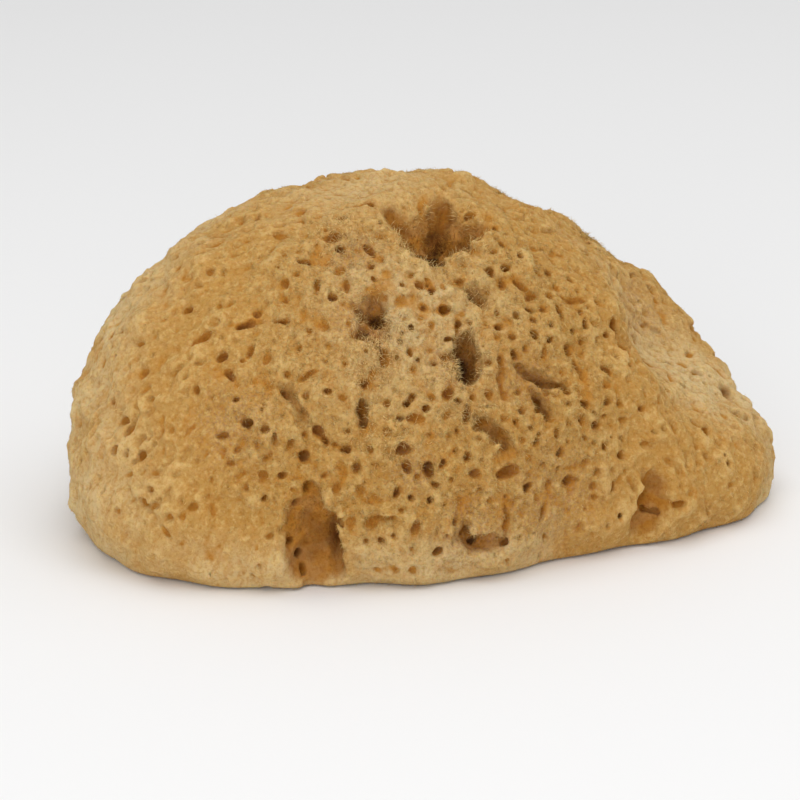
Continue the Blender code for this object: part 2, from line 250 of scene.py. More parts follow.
CROWN_PITS = (
    Pit(287, 205, 1.0, 1.8, 100, 1.0), Pit(300, 220, 0.8, 1.6, 110, 1.0), Pit(333, 237, 1.4, 2.6, 80, 1.8),
    Pit(341, 249, 1.3, 1.4, -40, 1.9), Pit(358, 248, 0.8, 0.8, 0, 1.0), Pit(369, 250, 1.1, 3.2, -35, 1.6),
    Pit(307, 262, 1.0, 1.9, 100, 2.0), Pit(362, 203, 0.7, 5.6, 90, 1.2), Pit(372, 203, 1.1, 1.2, 90, 1.8),
    Pit(341, 218, 0.9, 2.0, 80, 1.1), Pit(386, 190, 0.8, 2.4, -50, 1.0), Pit(402, 184, 0.7, 1.1, 90, 0.9),
    Pit(428, 185, 0.8, 1.3, 90, 0.9), Pit(470, 194, 0.8, 3.6, 95, 1.1), Pit(420, 208, 1.1, 2.0, 0, 1.3),
    Pit(470, 214, 1.0, 2.4, 60, 2.0), Pit(496, 227, 0.9, 1.0, 0, 1.7), Pit(489, 218, 0.9, 1.2, 60, 1.2),
    Pit(318, 286, 1.0, 2.8, 5, 1.4), Pit(347, 285, 0.8, 2.4, 0, 1.5), Pit(332, 297, 1.4, 1.8, 20, 2.2),
    Pit(372, 277, 0.8, 0.9, 0, 1.2), Pit(419, 285, 1.2, 1.4, 0, 1.8), Pit(431, 290, 1.2, 1.3, 0, 2.3),
    Pit(423, 307, 1.3, 1.3, 0, 2.0), Pit(444, 310, 1.5, 1.6, 0, 2.5), Pit(461, 282, 1.2, 1.5, 0, 1.4),
    Pit(458, 325, 1.3, 1.4, 0, 2.0), Pit(411, 328, 0.9, 1.0, 0, 1.8), Pit(432, 326, 0.8, 1.4, 0, 1.4),
    Pit(447, 339, 0.9, 1.4, 90, 2.0), Pit(443, 358, 0.9, 1.2, 90, 1.5), Pit(418, 360, 0.9, 1.0, 0, 1.6),
    Pit(409, 352, 0.8, 1.3, -20, 1.2), Pit(413, 370, 0.9, 1.2, 60, 1.2), Pit(400, 342, 0.9, 1.1, 0, 1.3),
    Pit(384, 360, 1.4, 2.6, -10, 1.6), Pit(490, 272, 1.3, 1.8, 20, 1.8), Pit(506, 267, 1.3, 1.9, 80, 2.4),
    Pit(503, 244, 0.7, 0.9, 0, 1.2), Pit(522, 285, 1.3, 3.6, -55, 1.5), Pit(548, 246, 0.7, 1.4, 95, 1.2),
    Pit(551, 260, 0.7, 2.0, -60, 1.2), Pit(535, 256, 0.7, 0.9, 0, 1.0), Pit(569, 253, 1.1, 1.6, 90, 0.7),
)

MIDDLE_PITS = (
    Pit(308, 374, 1.0, 3.8, 60, 1.4), Pit(328, 391, 1.3, 1.2, 0, 1.7), Pit(365, 384, 1.4, 1.5, 0, 2.0),
    Pit(412, 397, 1.2, 1.5, 10, 1.7), Pit(407, 404, 1.1, 1.1, 0, 2.2), Pit(413, 418, 1.4, 2.2, 80, 1.5),
    Pit(426, 408, 1.2, 1.5, 0, 1.9), Pit(448, 394, 1.5, 2.2, 20, 2.2), Pit(467, 413, 0.9, 2.8, 0, 1.8),
    Pit(404, 449, 1.9, 2.4, 0, 2.0), Pit(347, 450, 1.5, 1.4, 0, 1.9), Pit(370, 450, 1.1, 1.2, 0, 1.2),
    Pit(304, 456, 1.8, 2.3, 20, 2.8), Pit(318, 431, 1.4, 2.6, -30, 2.4), Pit(305, 432, 0.8, 1.5, 20, 1.3),
    Pit(428, 469, 1.7, 2.2, 10, 3.2), Pit(443, 464, 1.0, 2.0, 30, 1.9), Pit(407, 468, 1.6, 2.2, -10, 1.7),
    Pit(475, 474, 1.6, 1.7, 60, 1.7), Pit(467, 455, 1.0, 1.4, 80, 2.0), Pit(357, 469, 1.3, 1.6, 0, 1.7),
    Pit(397, 493, 1.2, 2.0, 20, 2.1), Pit(411, 497, 0.9, 1.5, 10, 2.2), Pit(437, 486, 0.9, 1.2, 0, 1.8),
    Pit(430, 501, 1.2, 1.3, 0, 1.9), Pit(415, 528, 1.0, 2.6, 10, 1.4), Pit(383, 519, 0.9, 4.6, 80, 1.3),
    Pit(370, 525, 1.2, 1.8, 90, 1.2), Pit(381, 541, 1.0, 1.3, 0, 1.6), Pit(367, 541, 0.8, 0.8, 0, 1.0),
    Pit(394, 535, 0.8, 0.9, 0, 0.9), Pit(438, 552, 1.4, 2.0, 40, 2.3), Pit(336, 490, 1.2, 1.6, 0, 1.0),
    Pit(360, 492, 1.2, 2.2, 0, 0.9), Pit(377, 572, 1.1, 2.4, -20, 0.9), Pit(395, 571, 0.8, 2.4, -20, 0.9),
    Pit(413, 571, 1.4, 1.8, 0, 0.9), Pit(352, 525, 1.3, 2.4, 0, 0.8), Pit(457, 431, 0.8, 1.2, 0, 1.3),
    Pit(456, 523, 0.8, 1.6, 0, 1.5), Pit(464, 530, 1.5, 1.5, 0, 2.0), Pit(472, 540, 1.2, 1.8, 80, 3.0),
    Pit(507, 524, 0.9, 4.6, 0, 1.3), Pit(505, 542, 1.3, 2.2, 60, 1.6), Pit(460, 503, 0.8, 3.0, 0, 0.9),
    Pit(308, 487, 1.5, 1.8, 30, 2.0), Pit(297, 503, 1.5, 1.6, 0, 2.0), Pit(299, 553, 1.4, 2.0, -15, 2.4),
    Pit(304, 568, 1.2, 2.0, 0, 2.4), Pit(289, 541, 1.4, 1.8, 60, 1.8), Pit(341, 524, 0.9, 1.8, -20, 1.6),
)

RIGHT_PITS = (
    Pit(532, 298, 0.9, 2.4, 60, 1.3), Pit(544, 308, 1.0, 1.1, 0, 1.6), Pit(560, 310, 0.9, 2.6, -25, 1.6),
    Pit(575, 300, 1.1, 3.4, 70, 1.6), Pit(582, 312, 1.0, 1.2, 0, 1.4), Pit(528, 309, 0.8, 1.4, -60, 1.6),
    Pit(517, 316, 0.8, 1.4, -30, 1.2), Pit(533, 319, 1.0, 1.4, 80, 1.6), Pit(499, 326, 1.1, 1.5, 70, 1.7),
    Pit(585, 325, 1.1, 1.6, 0, 2.1), Pit(573, 332, 1.0, 1.3, 40, 2.4), Pit(535, 335, 1.5, 1.5, 0, 2.5),
    Pit(512, 336, 0.9, 1.4, -70, 1.3), Pit(551, 340, 0.8, 1.4, 60, 1.5), Pit(582, 341, 1.0, 1.0, 0, 1.5),
    Pit(526, 348, 0.8, 1.6, 20, 1.2), Pit(569, 350, 1.3, 2.2, 0, 2.5), Pit(515, 356, 1.1, 1.8, -30, 2.2),
    Pit(501, 360, 1.3, 1.8, -20, 1.7), Pit(503, 373, 1.0, 2.0, 0, 1.2), Pit(545, 352, 1.0, 2.8, 20, 1.0),
    Pit(578, 368, 1.0, 3.0, -25, 1.5), Pit(583, 377, 0.9, 1.0, 0, 2.0), Pit(606, 369, 1.2, 2.2, 100, 1.5),
    Pit(631, 324, 1.1, 1.2, 0, 1.3), Pit(645, 326, 1.1, 2.0, 80, 0.9), Pit(600, 303, 0.8, 1.8, 95, 1.2),
    Pit(620, 311, 0.9, 2.0, 95, 1.0), Pit(610, 292, 0.8, 2.6, -50, 0.9), Pit(614, 328, 1.2, 3.6, -5, 2.1),
    Pit(622, 345, 1.2, 3.6, -45, 2.1), Pit(640, 355, 1.2, 3.8, -68, 2.1), Pit(671, 375, 1.2, 1.8, 20, 1.0),
    Pit(610, 384, 1.0, 1.5, 20, 1.2), Pit(608, 402, 1.0, 1.6, 90, 1.5), Pit(643, 408, 1.0, 1.7, 95, 1.9),
    Pit(586, 406, 1.1, 2.2, -60, 1.9), Pit(490, 395, 1.4, 1.8, -40, 1.5), Pit(500, 383, 0.9, 3.4, -20, 1.0),
    Pit(505, 395, 1.2, 1.6, 0, 1.2), Pit(566, 389, 1.2, 2.0, -40, 1.7), Pit(516, 423, 1.1, 1.4, 0, 1.4),
    Pit(530, 427, 0.9, 1.0, 0, 1.0), Pit(536, 406, 1.1, 1.5, 0, 1.2), Pit(557, 434, 0.9, 1.8, 0, 1.6),
    Pit(597, 425, 1.2, 2.2, -65, 2.1), Pit(606, 416, 0.7, 1.0, 80, 1.4), Pit(586, 438, 0.8, 1.6, -70, 1.4),
    Pit(560, 453, 0.9, 1.7, 0, 1.9), Pit(605, 447, 0.9, 1.4, -40, 1.7), Pit(622, 456, 1.1, 1.8, -80, 2.0),
    Pit(568, 482, 1.2, 2.4, -85, 1.6), Pit(569, 484, 0.9, 1.0, 0, 3.0), Pit(527, 489, 1.3, 1.6, 30, 2.6),
    Pit(511, 471, 2.0, 3.2, 75, 2.2), Pit(614, 487, 1.1, 2.2, 10, 1.7), Pit(597, 473, 0.8, 1.0, 0, 1.2),
    Pit(544, 512, 1.0, 3.6, 15, 1.6), Pit(620, 516, 0.9, 1.2, 0, 2.0), Pit(587, 510, 1.0, 1.0, 0, 1.1),
    Pit(642, 508, 0.9, 1.4, 0, 1.5), Pit(678, 507, 1.2, 2.4, 75, 1.8), Pit(707, 431, 1.6, 2.6, 40, 1.6),
    Pit(693, 493, 1.2, 2.2, 60, 1.1), Pit(733, 486, 1.3, 2.0, 60, 0.9), Pit(645, 445, 0.9, 2.0, 95, 1.2),
    Pit(682, 487, 0.9, 1.2, 0, 1.0), Pit(585, 463, 1.1, 1.4, 0, 1.2), Pit(624, 420, 0.8, 2.2, 100, 1.1),
    Pit(654, 433, 0.7, 1.2, -50, 1.2), Pit(545, 540, 0.9, 2.0, -30, 0.9), Pit(580, 528, 1.1, 2.0, 0, 0.9),
    Pit(652, 511, 0.9, 3.0, 95, 1.0),
)


def unit(vectors: np.ndarray) -> np.ndarray:
    """Vectors along the last axis, scaled to length 1."""
    return vectors / np.maximum(np.linalg.norm(vectors, axis=-1, keepdims=True), TINY)


def smooth_step(low: float, high: float, value: np.ndarray) -> np.ndarray:
    """A soft ramp from 0 at low to 1 at high."""
    share = np.clip((value - low) / (high - low), 0, 1)
    return share * share * (3 - 2 * share)


def direction_of(bearing: float, climb: float) -> np.ndarray:
    """The unit direction from the form's centre, from angles in degrees."""
    b, c = math.radians(bearing), math.radians(climb)
    return np.array((math.sin(b) * math.cos(c), -math.cos(b) * math.cos(c), math.sin(c)))


def angle_from(seen: np.ndarray, bearing: float, climb: float) -> np.ndarray:
    """The angle in radians between each unit direction and a bearing and climb in degrees."""
    return np.arccos(np.clip(seen @ direction_of(bearing, climb), -1, 1))


def bell(value: np.ndarray, spread: float) -> np.ndarray:
    """A bell curve: 1 where the value is 0, and lower away from there."""
    return np.exp(-0.5 * (value / spread) ** 2)


def spiral(count: int) -> np.ndarray:
    """Directions spread evenly over a sphere by the golden angle, one to a row."""
    index = np.arange(count)
    z = 1 - 2 * (index + 0.5) / count
    ring = np.sqrt(1 - z * z)
    angle = index * GOLDEN_ANGLE
    return np.stack((ring * np.cos(angle), ring * np.sin(angle), z), axis=1)


@dataclass(frozen=True)
class GrownForm:
    """The smooth form of the sponge: a rounded block on a flat base, with swells and soft lumps."""

    length: float = 130 * MM
    depth: float = 92 * MM
    height: float = 64 * MM
    centre_height: float = 12 * MM
    skirt_reach: float = 31 * MM
    plan_squareness: float = 2.2
    side_squareness: float = 1.9
    lump_waves: int = 7
    lump_rise: float = 0.3 * MM
    shortest_lump: float = 11 * MM
    lump_step: float = 1.7 * MM
    measuring_directions: int = 40000

    def lumps(self, points: np.ndarray) -> np.ndarray:
        """How far the soft lumps raise the surface near each point."""
        rise = np.zeros(len(points))
        for k, way in enumerate(spiral(self.lump_waves)):
            wavelength = self.shortest_lump + k * self.lump_step
            rise += np.sin(math.tau * (points @ way) / wavelength + k)
        return self.lump_rise * rise

    def reach(self, directions: np.ndarray) -> np.ndarray:
        """How far the form goes from its centre.

        Args:
            directions: Unit directions, one to a row.

        Returns:
            One distance a direction, before the form is fitted to its size.
        """
        x, y, z = directions.T
        upward = np.where(z > 0, self.height - self.centre_height, self.skirt_reach)
        plan = np.abs(2 * x / self.length) ** self.plan_squareness
        plan += np.abs(2 * y / self.depth) ** self.plan_squareness
        upright = np.abs(z / upward) ** self.side_squareness
        flatness = self.side_squareness / self.plan_squareness
        distance = (plan ** flatness + upright) ** (-1 / self.side_squareness)
        for swell in SWELLS:
            away = angle_from(directions, swell.bearing, swell.climb)
            distance *= 1 + swell.rise * bell(away, math.radians(swell.spread))
        return distance + self.lumps(directions * distance[:, None])

    @cached_property
    def fit(self) -> tuple[np.ndarray, np.ndarray]:
        """The stretch along each axis, and the spot that becomes the origin, that give the overall size."""
        ways = spiral(self.measuring_directions)
        skin = ways * self.reach(ways)[:, None]
        skin = skin[skin[:, 2] > -self.centre_height]
        low, high = skin.min(axis=0), skin.max(axis=0)
        low[2] = -self.centre_height
        stretch = np.array((self.length, self.depth, self.height)) / (high - low)
        return stretch, np.array(((low[0] + high[0]) / 2, (low[1] + high[1]) / 2, low[2]))

    def placed(self, points: np.ndarray) -> np.ndarray:
        """Points of the form in the sponge's own frame."""
        stretch, middle = self.fit
        return (points - middle) * stretch

    def seen_from_centre(self, points: np.ndarray) -> np.ndarray:
        """Points of the sponge's frame as the form's centre sees them."""
        stretch, middle = self.fit
        return points / stretch + middle

    def distance(self, points: np.ndarray) -> np.ndarray:
        """How far points of the sponge's frame lie outside the form along the line to its centre."""
        seen = self.seen_from_centre(points)
        far = np.linalg.norm(seen, axis=1)
        return far - self.reach(seen / np.maximum(far, TINY)[:, None])

    def frame_at(self, bearing: float, climb: float, turn: float = 0.0) -> tuple[np.ndarray, np.ndarray]:
        """The spot on the form at a bearing and a climb, and its axes.

        Args:
            bearing: Degrees round from the front.
            climb: Degrees up from the level of the centre.
            turn: Degrees by which the axes are turned anticlockwise.

        Returns:
            The spot, and three rows: across, along and straight out.
        """
        outward = direction_of(bearing, climb)
        across = direction_of(bearing + 90, 0)
        uphill = np.cross(outward, across)
        cosine, sine = math.cos(math.radians(turn)), math.sin(math.radians(turn))
        axes = np.stack((cosine * across + sine * uphill, cosine * uphill - sine * across, outward))
        return self.placed(outward * self.reach(outward[None])[0]), axes


@dataclass(frozen=True)
class Viewpoint:
    """Where the photograph was taken from, and what its pixels see."""

    target: tuple[float, float, float] = (-4.48 * MM, -3.24 * MM, 21.14 * MM)
    elevation: float = 20.0
    distance: float = 700 * MM
    pixels_a_millimetre: float = 5.49
    frame_pixels: int = 800
    deepest: float = 90 * MM
    step: float = 0.25 * MM

    @cached_property
    def axes(self) -> np.ndarray:
        """Rightwards, upwards and back towards the eye, one to a row."""
        climb = math.radians(self.elevation)
        back = np.array((0.0, -math.cos(climb), math.sin(climb)))
        right = np.array((1.0, 0.0, 0.0))
        return np.stack((right, np.cross(back, right), back))

    @property
    def eye(self) -> np.ndarray:
        """Where the eye is."""
        return np.array(self.target) + self.axes[2] * self.distance

    @property
    def breadth(self) -> float:
        """The width of the view at the target."""
        return self.frame_pixels / self.pixels_a_millimetre * MM

    def spots(self, pixels: np.ndarray, tissue: "Field") -> np.ndarray:
        """Where the lines of sight through pixels first meet the tissue.

        Args:
            pixels: Places in the frame, one to a row, counted from its top left.
            tissue: The tissue that they look at.

        Returns:
            One point a pixel.
        """
        aside = (pixels - self.frame_pixels / 2) / self.pixels_a_millimetre * MM
        aim = np.array(self.target) + aside[:, :1] * self.axes[0] - aside[:, 1:] * self.axes[1]
        ways = unit(aim - self.eye)
        far = self.distance + np.arange(-self.deepest, self.deepest, self.step)
        line = self.eye + ways[:, None, :] * far[None, :, None]
        inside = tissue.at(line.reshape(-1, 3)).reshape(len(pixels), -1) < 0
        return line[np.arange(len(pixels)), inside.argmax(axis=1)]

    def leaning(self, normals: np.ndarray, lean: np.ndarray) -> np.ndarray:
        """The direction along the surface that appears to lean to the right of upright."""
        angle = np.radians(lean)[:, None]
        seen = self.axes[1] * np.cos(angle) + self.axes[0] * np.sin(angle)
        return unit(seen - normals * np.sum(seen * normals, axis=1, keepdims=True))


@dataclass(frozen=True)
class Growth:
    """The way the sponge grew: streaks fan out from the crown, and the open pores lie round two hearts."""

    form: GrownForm
    bearing: float = 12.0
    climb: float = 67.0
    hearts: tuple[tuple[float, float], ...] = ((8, 32), (172, 34))
    grains_round: float = 44.0
    grains_outwards: float = 10.0

    @cached_property
    def middle(self) -> np.ndarray:
        """The direction of the middle from the form's centre."""
        return direction_of(self.bearing, self.climb)

    def angles(self, points: np.ndarray) -> tuple[np.ndarray, np.ndarray]:
        """Each point's angle away from the middle, and its angle round it, in radians."""
        seen = unit(self.form.seen_from_centre(points))
        side = unit(np.cross(self.middle, (0.0, 0.0, 1.0)))
        over = np.cross(side, self.middle)
        away = np.arccos(np.clip(seen @ self.middle, -1, 1))
        return away, np.arctan2(seen @ over, seen @ side)

    def from_hearts(self, points: np.ndarray) -> np.ndarray:
        """Each point's angle away from the nearest heart, in degrees."""
        seen = unit(self.form.seen_from_centre(points))
        return np.degrees(np.minimum.reduce([angle_from(seen, *heart) for heart in self.hearts]))

    def grain(self, points: np.ndarray) -> np.ndarray:
        """Places in which noise looks like streaks that run with the growth, one to a row."""
        away, around = self.angles(points)
        ring = (self.grains_round * np.cos(around), self.grains_round * np.sin(around))
        return np.stack((*ring, self.grains_outwards * away), axis=1)

    def way(self, points: np.ndarray, normals: np.ndarray) -> np.ndarray:
        """The direction of growth along the surface at each point."""
        seen = unit(self.form.seen_from_centre(points))
        outward = seen * (seen @ self.middle)[:, None] - self.middle
        return unit(outward - normals * np.sum(outward * normals, axis=1, keepdims=True))


def between(values: np.ndarray, whole: np.ndarray, share: np.ndarray) -> np.ndarray:
    """Reads a lattice of values, one that repeats, between its points.

    Args:
        values: The lattice.
        whole: The lattice's point below each spot, one spot to a row.
        share: How far each spot lies beyond it, from 0 to 1 along each axis.

    Returns:
        One value a spot.
    """
    total = np.zeros(len(whole), np.float32)
    for corner in np.ndindex(2, 2, 2):
        weight = np.ones(len(whole), np.float32)
        for axis in range(3):
            weight *= share[:, axis] if corner[axis] else 1 - share[:, axis]
        i, j, k = ((whole + corner) % values.shape).T
        total += weight * values[i, j, k]
    return total


@dataclass(frozen=True)
class Noise:
    """Smooth seeded noise from -1 to 1, with one random value to a cell of a lattice that repeats."""

    seed: int
    cells: tuple[int, int, int] = (64, 64, 64)

    @cached_property
    def values(self) -> np.ndarray:
        """The lattice's random values."""
        return np.random.default_rng(self.seed).uniform(-1, 1, self.cells).astype(np.float32)

    def at(self, spots: np.ndarray) -> np.ndarray:
        """The noise at spots given in cells, one to a row."""
        whole = np.floor(spots).astype(np.int64)
        share = (spots - whole).astype(np.float32)
        return between(self.values, whole, share * share * (3 - 2 * share))


@dataclass
class Field:
    """Signed distances on a regular grid, negative inside the tissue."""

    low: np.ndarray
    step: float
    values: np.ndarray

    def copy(self) -> "Field":
        """The same grid with its own values."""
        return Field(self.low, self.step, self.values.copy())

    def at(self, points: np.ndarray) -> np.ndarray:
        """The distance at each point, read between the grid's values."""
        last = np.array(self.values.shape) - JUST_OVER_ONE
        spots = np.clip((points - self.low) / self.step, 0, last)
        whole = spots.astype(np.int64)
        return between(self.values, whole, (spots - whole).astype(np.float32))

    def places(self, numbers: np.ndarray) -> np.ndarray:
        """The places of the grid's values, given by their numbers in one flat row."""
        return self.low + np.stack(np.unravel_index(numbers, self.values.shape), axis=1) * self.step

    def outward(self, points: np.ndarray, over: float) -> np.ndarray:
        """The unit direction in which the distance grows, measured over a span."""
        slopes = []
        for axis in np.eye(3) * over / 2:
            slopes.append(self.at(points + axis) - self.at(points - axis))
        return unit(np.stack(slopes, axis=1))

    def carve(self, spot: np.ndarray, axes: np.ndarray, radii: np.ndarray, softness: float) -> None:
        """Takes an ellipsoid out of the tissue and rounds the rim that it leaves.

        Args:
            spot: The middle of the ellipsoid.
            axes: Its axes, one to a row.
            radii: Its half sizes along the axes.
            softness: The width over which the rim is rounded.
        """
        span = np.sqrt(np.sum((axes * radii[:, None]) ** 2, axis=0)) + softness
        first = np.maximum(np.floor((spot - span - self.low) / self.step).astype(int), 0)
        last = np.minimum(np.ceil((spot + span - self.low) / self.step).astype(int) + 1, self.values.shape)
        if np.any(last <= first):
            return
        window = self.values[first[0]:last[0], first[1]:last[1], first[2]:last[2]]
        lines = [self.low[a] + self.step * np.arange(first[a], last[a]) - spot[a] for a in range(3)]
        x, y, z = lines[0][:, None, None], lines[1][None, :, None], lines[2][None, None, :]
        scaled = np.zeros(window.shape)
        steep = np.zeros(window.shape)
        for axis, radius in zip(axes, radii):
            along = (x * axis[0] + y * axis[1] + z * axis[2]) / radius
            scaled += along ** 2
            steep += (along / radius) ** 2
        scaled = np.sqrt(scaled)
        inside = scaled * (scaled - 1) / np.maximum(np.sqrt(steep), TINY)
        window[...] = soft_maximum(window, -inside, softness)

    def cut_below(self, height: float, softness: float) -> None:
        """Takes away everything under a level."""
        levels = height - (self.low[2] + self.step * np.arange(self.values.shape[2]))
        self.values = soft_maximum(self.values, levels[None, None, :].astype(np.float32), softness)


def soft_maximum(first: np.ndarray, second: np.ndarray, softness: float) -> np.ndarray:
    """The larger of two distances, blended where they differ by less than the softness."""
    overlap = np.maximum(softness - np.abs(first - second), 0) / softness
    return np.maximum(first, second) + overlap * overlap * softness / 4


def resampling(coarse: int, per_cell: int) -> np.ndarray:
    """The matrix that reads a coarse line of values at finer spots, along smooth curves.

    Args:
        coarse: How many values the coarse line has.
        per_cell: How many fine spots there are to a coarse one.

    Returns:
        One row of weights to a fine spot.
    """
    spots = np.arange((coarse - 1) * per_cell + 1) / per_cell
    whole = np.minimum(spots.astype(int), coarse - 2)
    t = spots - whole
    weights = (
        -0.5 * t + t ** 2 - 0.5 * t ** 3,
        1 - 2.5 * t ** 2 + 1.5 * t ** 3,
        0.5 * t + 2 * t ** 2 - 1.5 * t ** 3,
        -0.5 * t ** 2 + 0.5 * t ** 3,
    )
    matrix = np.zeros((len(spots), coarse), np.float32)
    for offset, weight in enumerate(weights):
        column = np.clip(whole + offset - 1, 0, coarse - 1)
        np.add.at(matrix, (np.arange(len(spots)), column), weight)
    return matrix


class PoreStyle(Enum):
    """How a pore is shaped."""

    ROUND = "round"
    LONG = "long"
    CUT = "cut"


@dataclass(frozen=True)
class Scatter:
    """How scattered pores are spaced, sized and turned. Gaps and half widths are in millimetres."""

    candidates: int = 11500
    unevenness: float = 0.012
    lowest: float = 2.0 * MM
    deepest: float = 2.2 * MM
    facing: float = 0.2
    long_share: float = 0.15
    long_gain: float = 0.8
    room_share: float = 0.62
    gaps: tuple[float, float] = (0.3, 1.15)
    flank_crowding: float = 0.6
    shown_size: float = 0.85
    shown_gap: float = 0.15
    foot_heights: tuple[float, float] = (9 * MM, 15 * MM)
    foot_shrinking: float = 0.2
    foot_gap: float = 0.6
    long_swing: float = 0.22
    round_swing: float = 0.8
    long_halves: tuple[float, float] = (0.38, 0.74)
    long_lengths: tuple[float, float] = (1.3, 3.0)
    long_depths: tuple[float, float] = (1.2, 2.1)
    small_share: float = 0.78
    small_halves: tuple[float, float] = (0.34, 0.60)
    large_halves: tuple[float, float] = (0.60, 0.9)
    round_lengths: tuple[float, float] = (1.0, 1.35)
    round_depths: tuple[float, float] = (1.3, 3.2)
    cut_depths: tuple[float, float] = (3.0, 6.0)
    twin_share: float = 0.5
    twin_strays: tuple[float, float] = (0.6, 0.8)
    twin_size: tuple[float, float, float] = (0.7, 0.6, 0.8)
    base_candidates: int = 1500
    base_probe: float = 1.5 * MM
    base_cover: float = -1.2 * MM
    base_gap: float = 0.45 * MM
    wide_share: float = 0.12
    wide_growth: tuple[float, float] = (1.5, 2.4)


@dataclass(frozen=True)
class Bump:
    """One size of bump on the skin: how long it is, its rise in millimetres and its gain on the flanks."""

    chance: Chance
    cell: float
    rise: float
    gain: float


BUMPS = (
    Bump(Chance.COARSE_BUMPS, 3.6 * MM, 0.25, 0.25),
    Bump(Chance.BUMPS, 2.1 * MM, 0.45, -0.05),
    Bump(Chance.FINE_BUMPS, 1.05 * MM, 0.35, -0.10),
)


@dataclass
class Tissue:
    """The sponge's flesh, from its grown form down to its smallest pores."""

    form: GrownForm
    growth: Growth
    viewpoint: Viewpoint
    scatter: Scatter = Scatter()
    voxel: float = 0.42 * MM
    voxels_a_cell: int = 4
    steepness_limits: tuple[float, float] = (0.8, 1.6)
    margin: float = 4.0 * MM
    skin_inset: float = 0.45 * MM
    base_level: float = 0.2 * MM
    base_softness: float = 0.8 * MM
    base_edge: float = 0.3 * MM
    hollow_softness: float = 1.0 * MM
    hollow_waver: float = 0.6 * MM
    hollow_waver_cell: float = 3.4 * MM
    pore_softness: float = 0.6 * MM
    pore_waver: float = 0.32 * MM
    pore_waver_cell: float = 1.5 * MM
    fine_waver: float = 0.5
    fine_waver_cell: float = 0.42
    whole: float = -4.0 * MM
    waver_band: float = 2.4 * MM
    rough_band: float = 1.9 * MM
    rough_from: float = 2.5 * MM
    streak_cells: tuple[int, int, int] = (256, 48, 48)
    streak_rise: float = 0.08 * MM
    streaks_outwards: float = 9.0
    streak_layer: float = 6 * MM
    wide_wander: tuple[float, float] = (0.03, 9 * MM)
    narrow_wander: tuple[float, float] = (0.012, 3 * MM)
    wander_damping: float = 3.0
    flank_angles: tuple[float, float] = (32, 54)
    patch_cell: float = 14 * MM
    patch_share: float = 0.3
    probe_start: float = 1.5 * MM
    probe_depth: float = 22 * MM
    probe_step: float = 0.4 * MM
    pore_span: float = 2.4 * MM
    pit_span: float = 2.0 * MM
    pit_growth: float = 1.12
    pit_deepening: float = 1.15
    pit_room: float = 0.31
    flank_shallowing: float = 0.1
    seed: int = 21

    def grow(self) -> Field:
        """The field of the smooth form, worked out on a coarse grid and drawn finer."""
        cell = self.voxel * self.voxels_a_cell
        half = np.array((self.form.length / 2, self.form.depth / 2, 0)) + self.margin
        low = -half
        size = np.array((self.form.length, self.form.depth, self.form.height)) + 2 * self.margin
        counts = np.ceil(size / cell).astype(int) + 1
        lines = [low[a] + cell * np.arange(counts[a]) for a in range(3)]
        points = np.stack(np.meshgrid(*lines, indexing="ij"), axis=-1).reshape(-1, 3)
        coarse = (self.form.distance(points) + self.skin_inset).reshape(counts)
        slopes = np.gradient(coarse, cell)
        steepness = np.sqrt(sum(slope ** 2 for slope in slopes))
        coarse = (coarse / np.clip(steepness, *self.steepness_limits)).astype(np.float32)
        across, along, up = (resampling(count, self.voxels_a_cell) for count in counts)
        fine = np.tensordot(across, coarse, axes=(1, 0))
        fine = np.matmul(along, fine)
        fine = np.matmul(fine, up.T)
        return Field(low, self.voxel, np.ascontiguousarray(fine))

    def uncut(self, field: Field) -> Field:
        """A field of openings for a piece of tissue, with none in it yet."""
        return Field(field.low, field.step, np.full(field.values.shape, self.whole, np.float32))

    @staticmethod
    def straying(spots: np.ndarray, seed: int) -> np.ndarray:
        """A vector of noise at each spot, given in cells."""
        return np.stack([Noise(seed + axis).at(spots) for axis in range(3)], axis=1)

    def open_up(
        self, field: Field, openings: Field, waver: float, cell: float, softness: float, seed: int
    ) -> None:
        """Takes openings out of the tissue, and lets their walls and rims waver.

        Args:
            field: The tissue.
            openings: The openings, as distances that are positive in them.
            waver: How far the walls stray.
            cell: How long a stray is.
            softness: The width over which the rims are rounded.
            seed: The seed of the straying.
        """
        near = np.flatnonzero(openings.values.reshape(-1) > -self.waver_band)
        points = field.places(near)
        stray = self.straying(points / cell, seed)
        stray += self.fine_waver * self.straying(points / (self.fine_waver_cell * cell), seed + 3)
        flat = field.values.reshape(-1)
        flat[near] = soft_maximum(flat[near], openings.at(points + waver * stray), softness)

    def hollow_out(self, field: Field) -> None:
        """Carves the outlets, clefts, throats and folds."""
        openings = self.uncut(field)
        for hollow in HOLLOWS + THROATS:
            spot, axes = self.form.frame_at(hollow.bearing, hollow.climb, hollow.turn)
            openings.carve(spot + axes[2] * hollow.lift, axes, hollow.radii, self.hollow_softness)
        seed = self.seed + Chance.HOLLOW_WALLS
        self.open_up(field, openings, self.hollow_waver, self.hollow_waver_cell, self.hollow_softness, seed)

    def streaks(self, points: np.ndarray) -> np.ndarray:
        """Fine ridges and grooves that run with the growth, from -1 in a groove to 1 on a ridge."""
        away, around = self.growth.angles(points)
        wide, wide_cell = self.wide_wander
        narrow, narrow_cell = self.narrow_wander
        wander = wide * Noise(self.seed + Chance.WIDE_WANDER).at(points / wide_cell)
        wander += narrow * Noise(self.seed + Chance.NARROW_WANDER).at(points / narrow_cell)
        cells = self.streak_cells
        sideways = around / math.tau * cells[0] + wander * cells[0] / self.wander_damping
        inwards = np.linalg.norm(points, axis=1) / self.streak_layer
        spots = np.stack((sideways, away * self.streaks_outwards, inwards), axis=1)
        return Noise(self.seed + Chance.STREAKS, cells).at(spots)

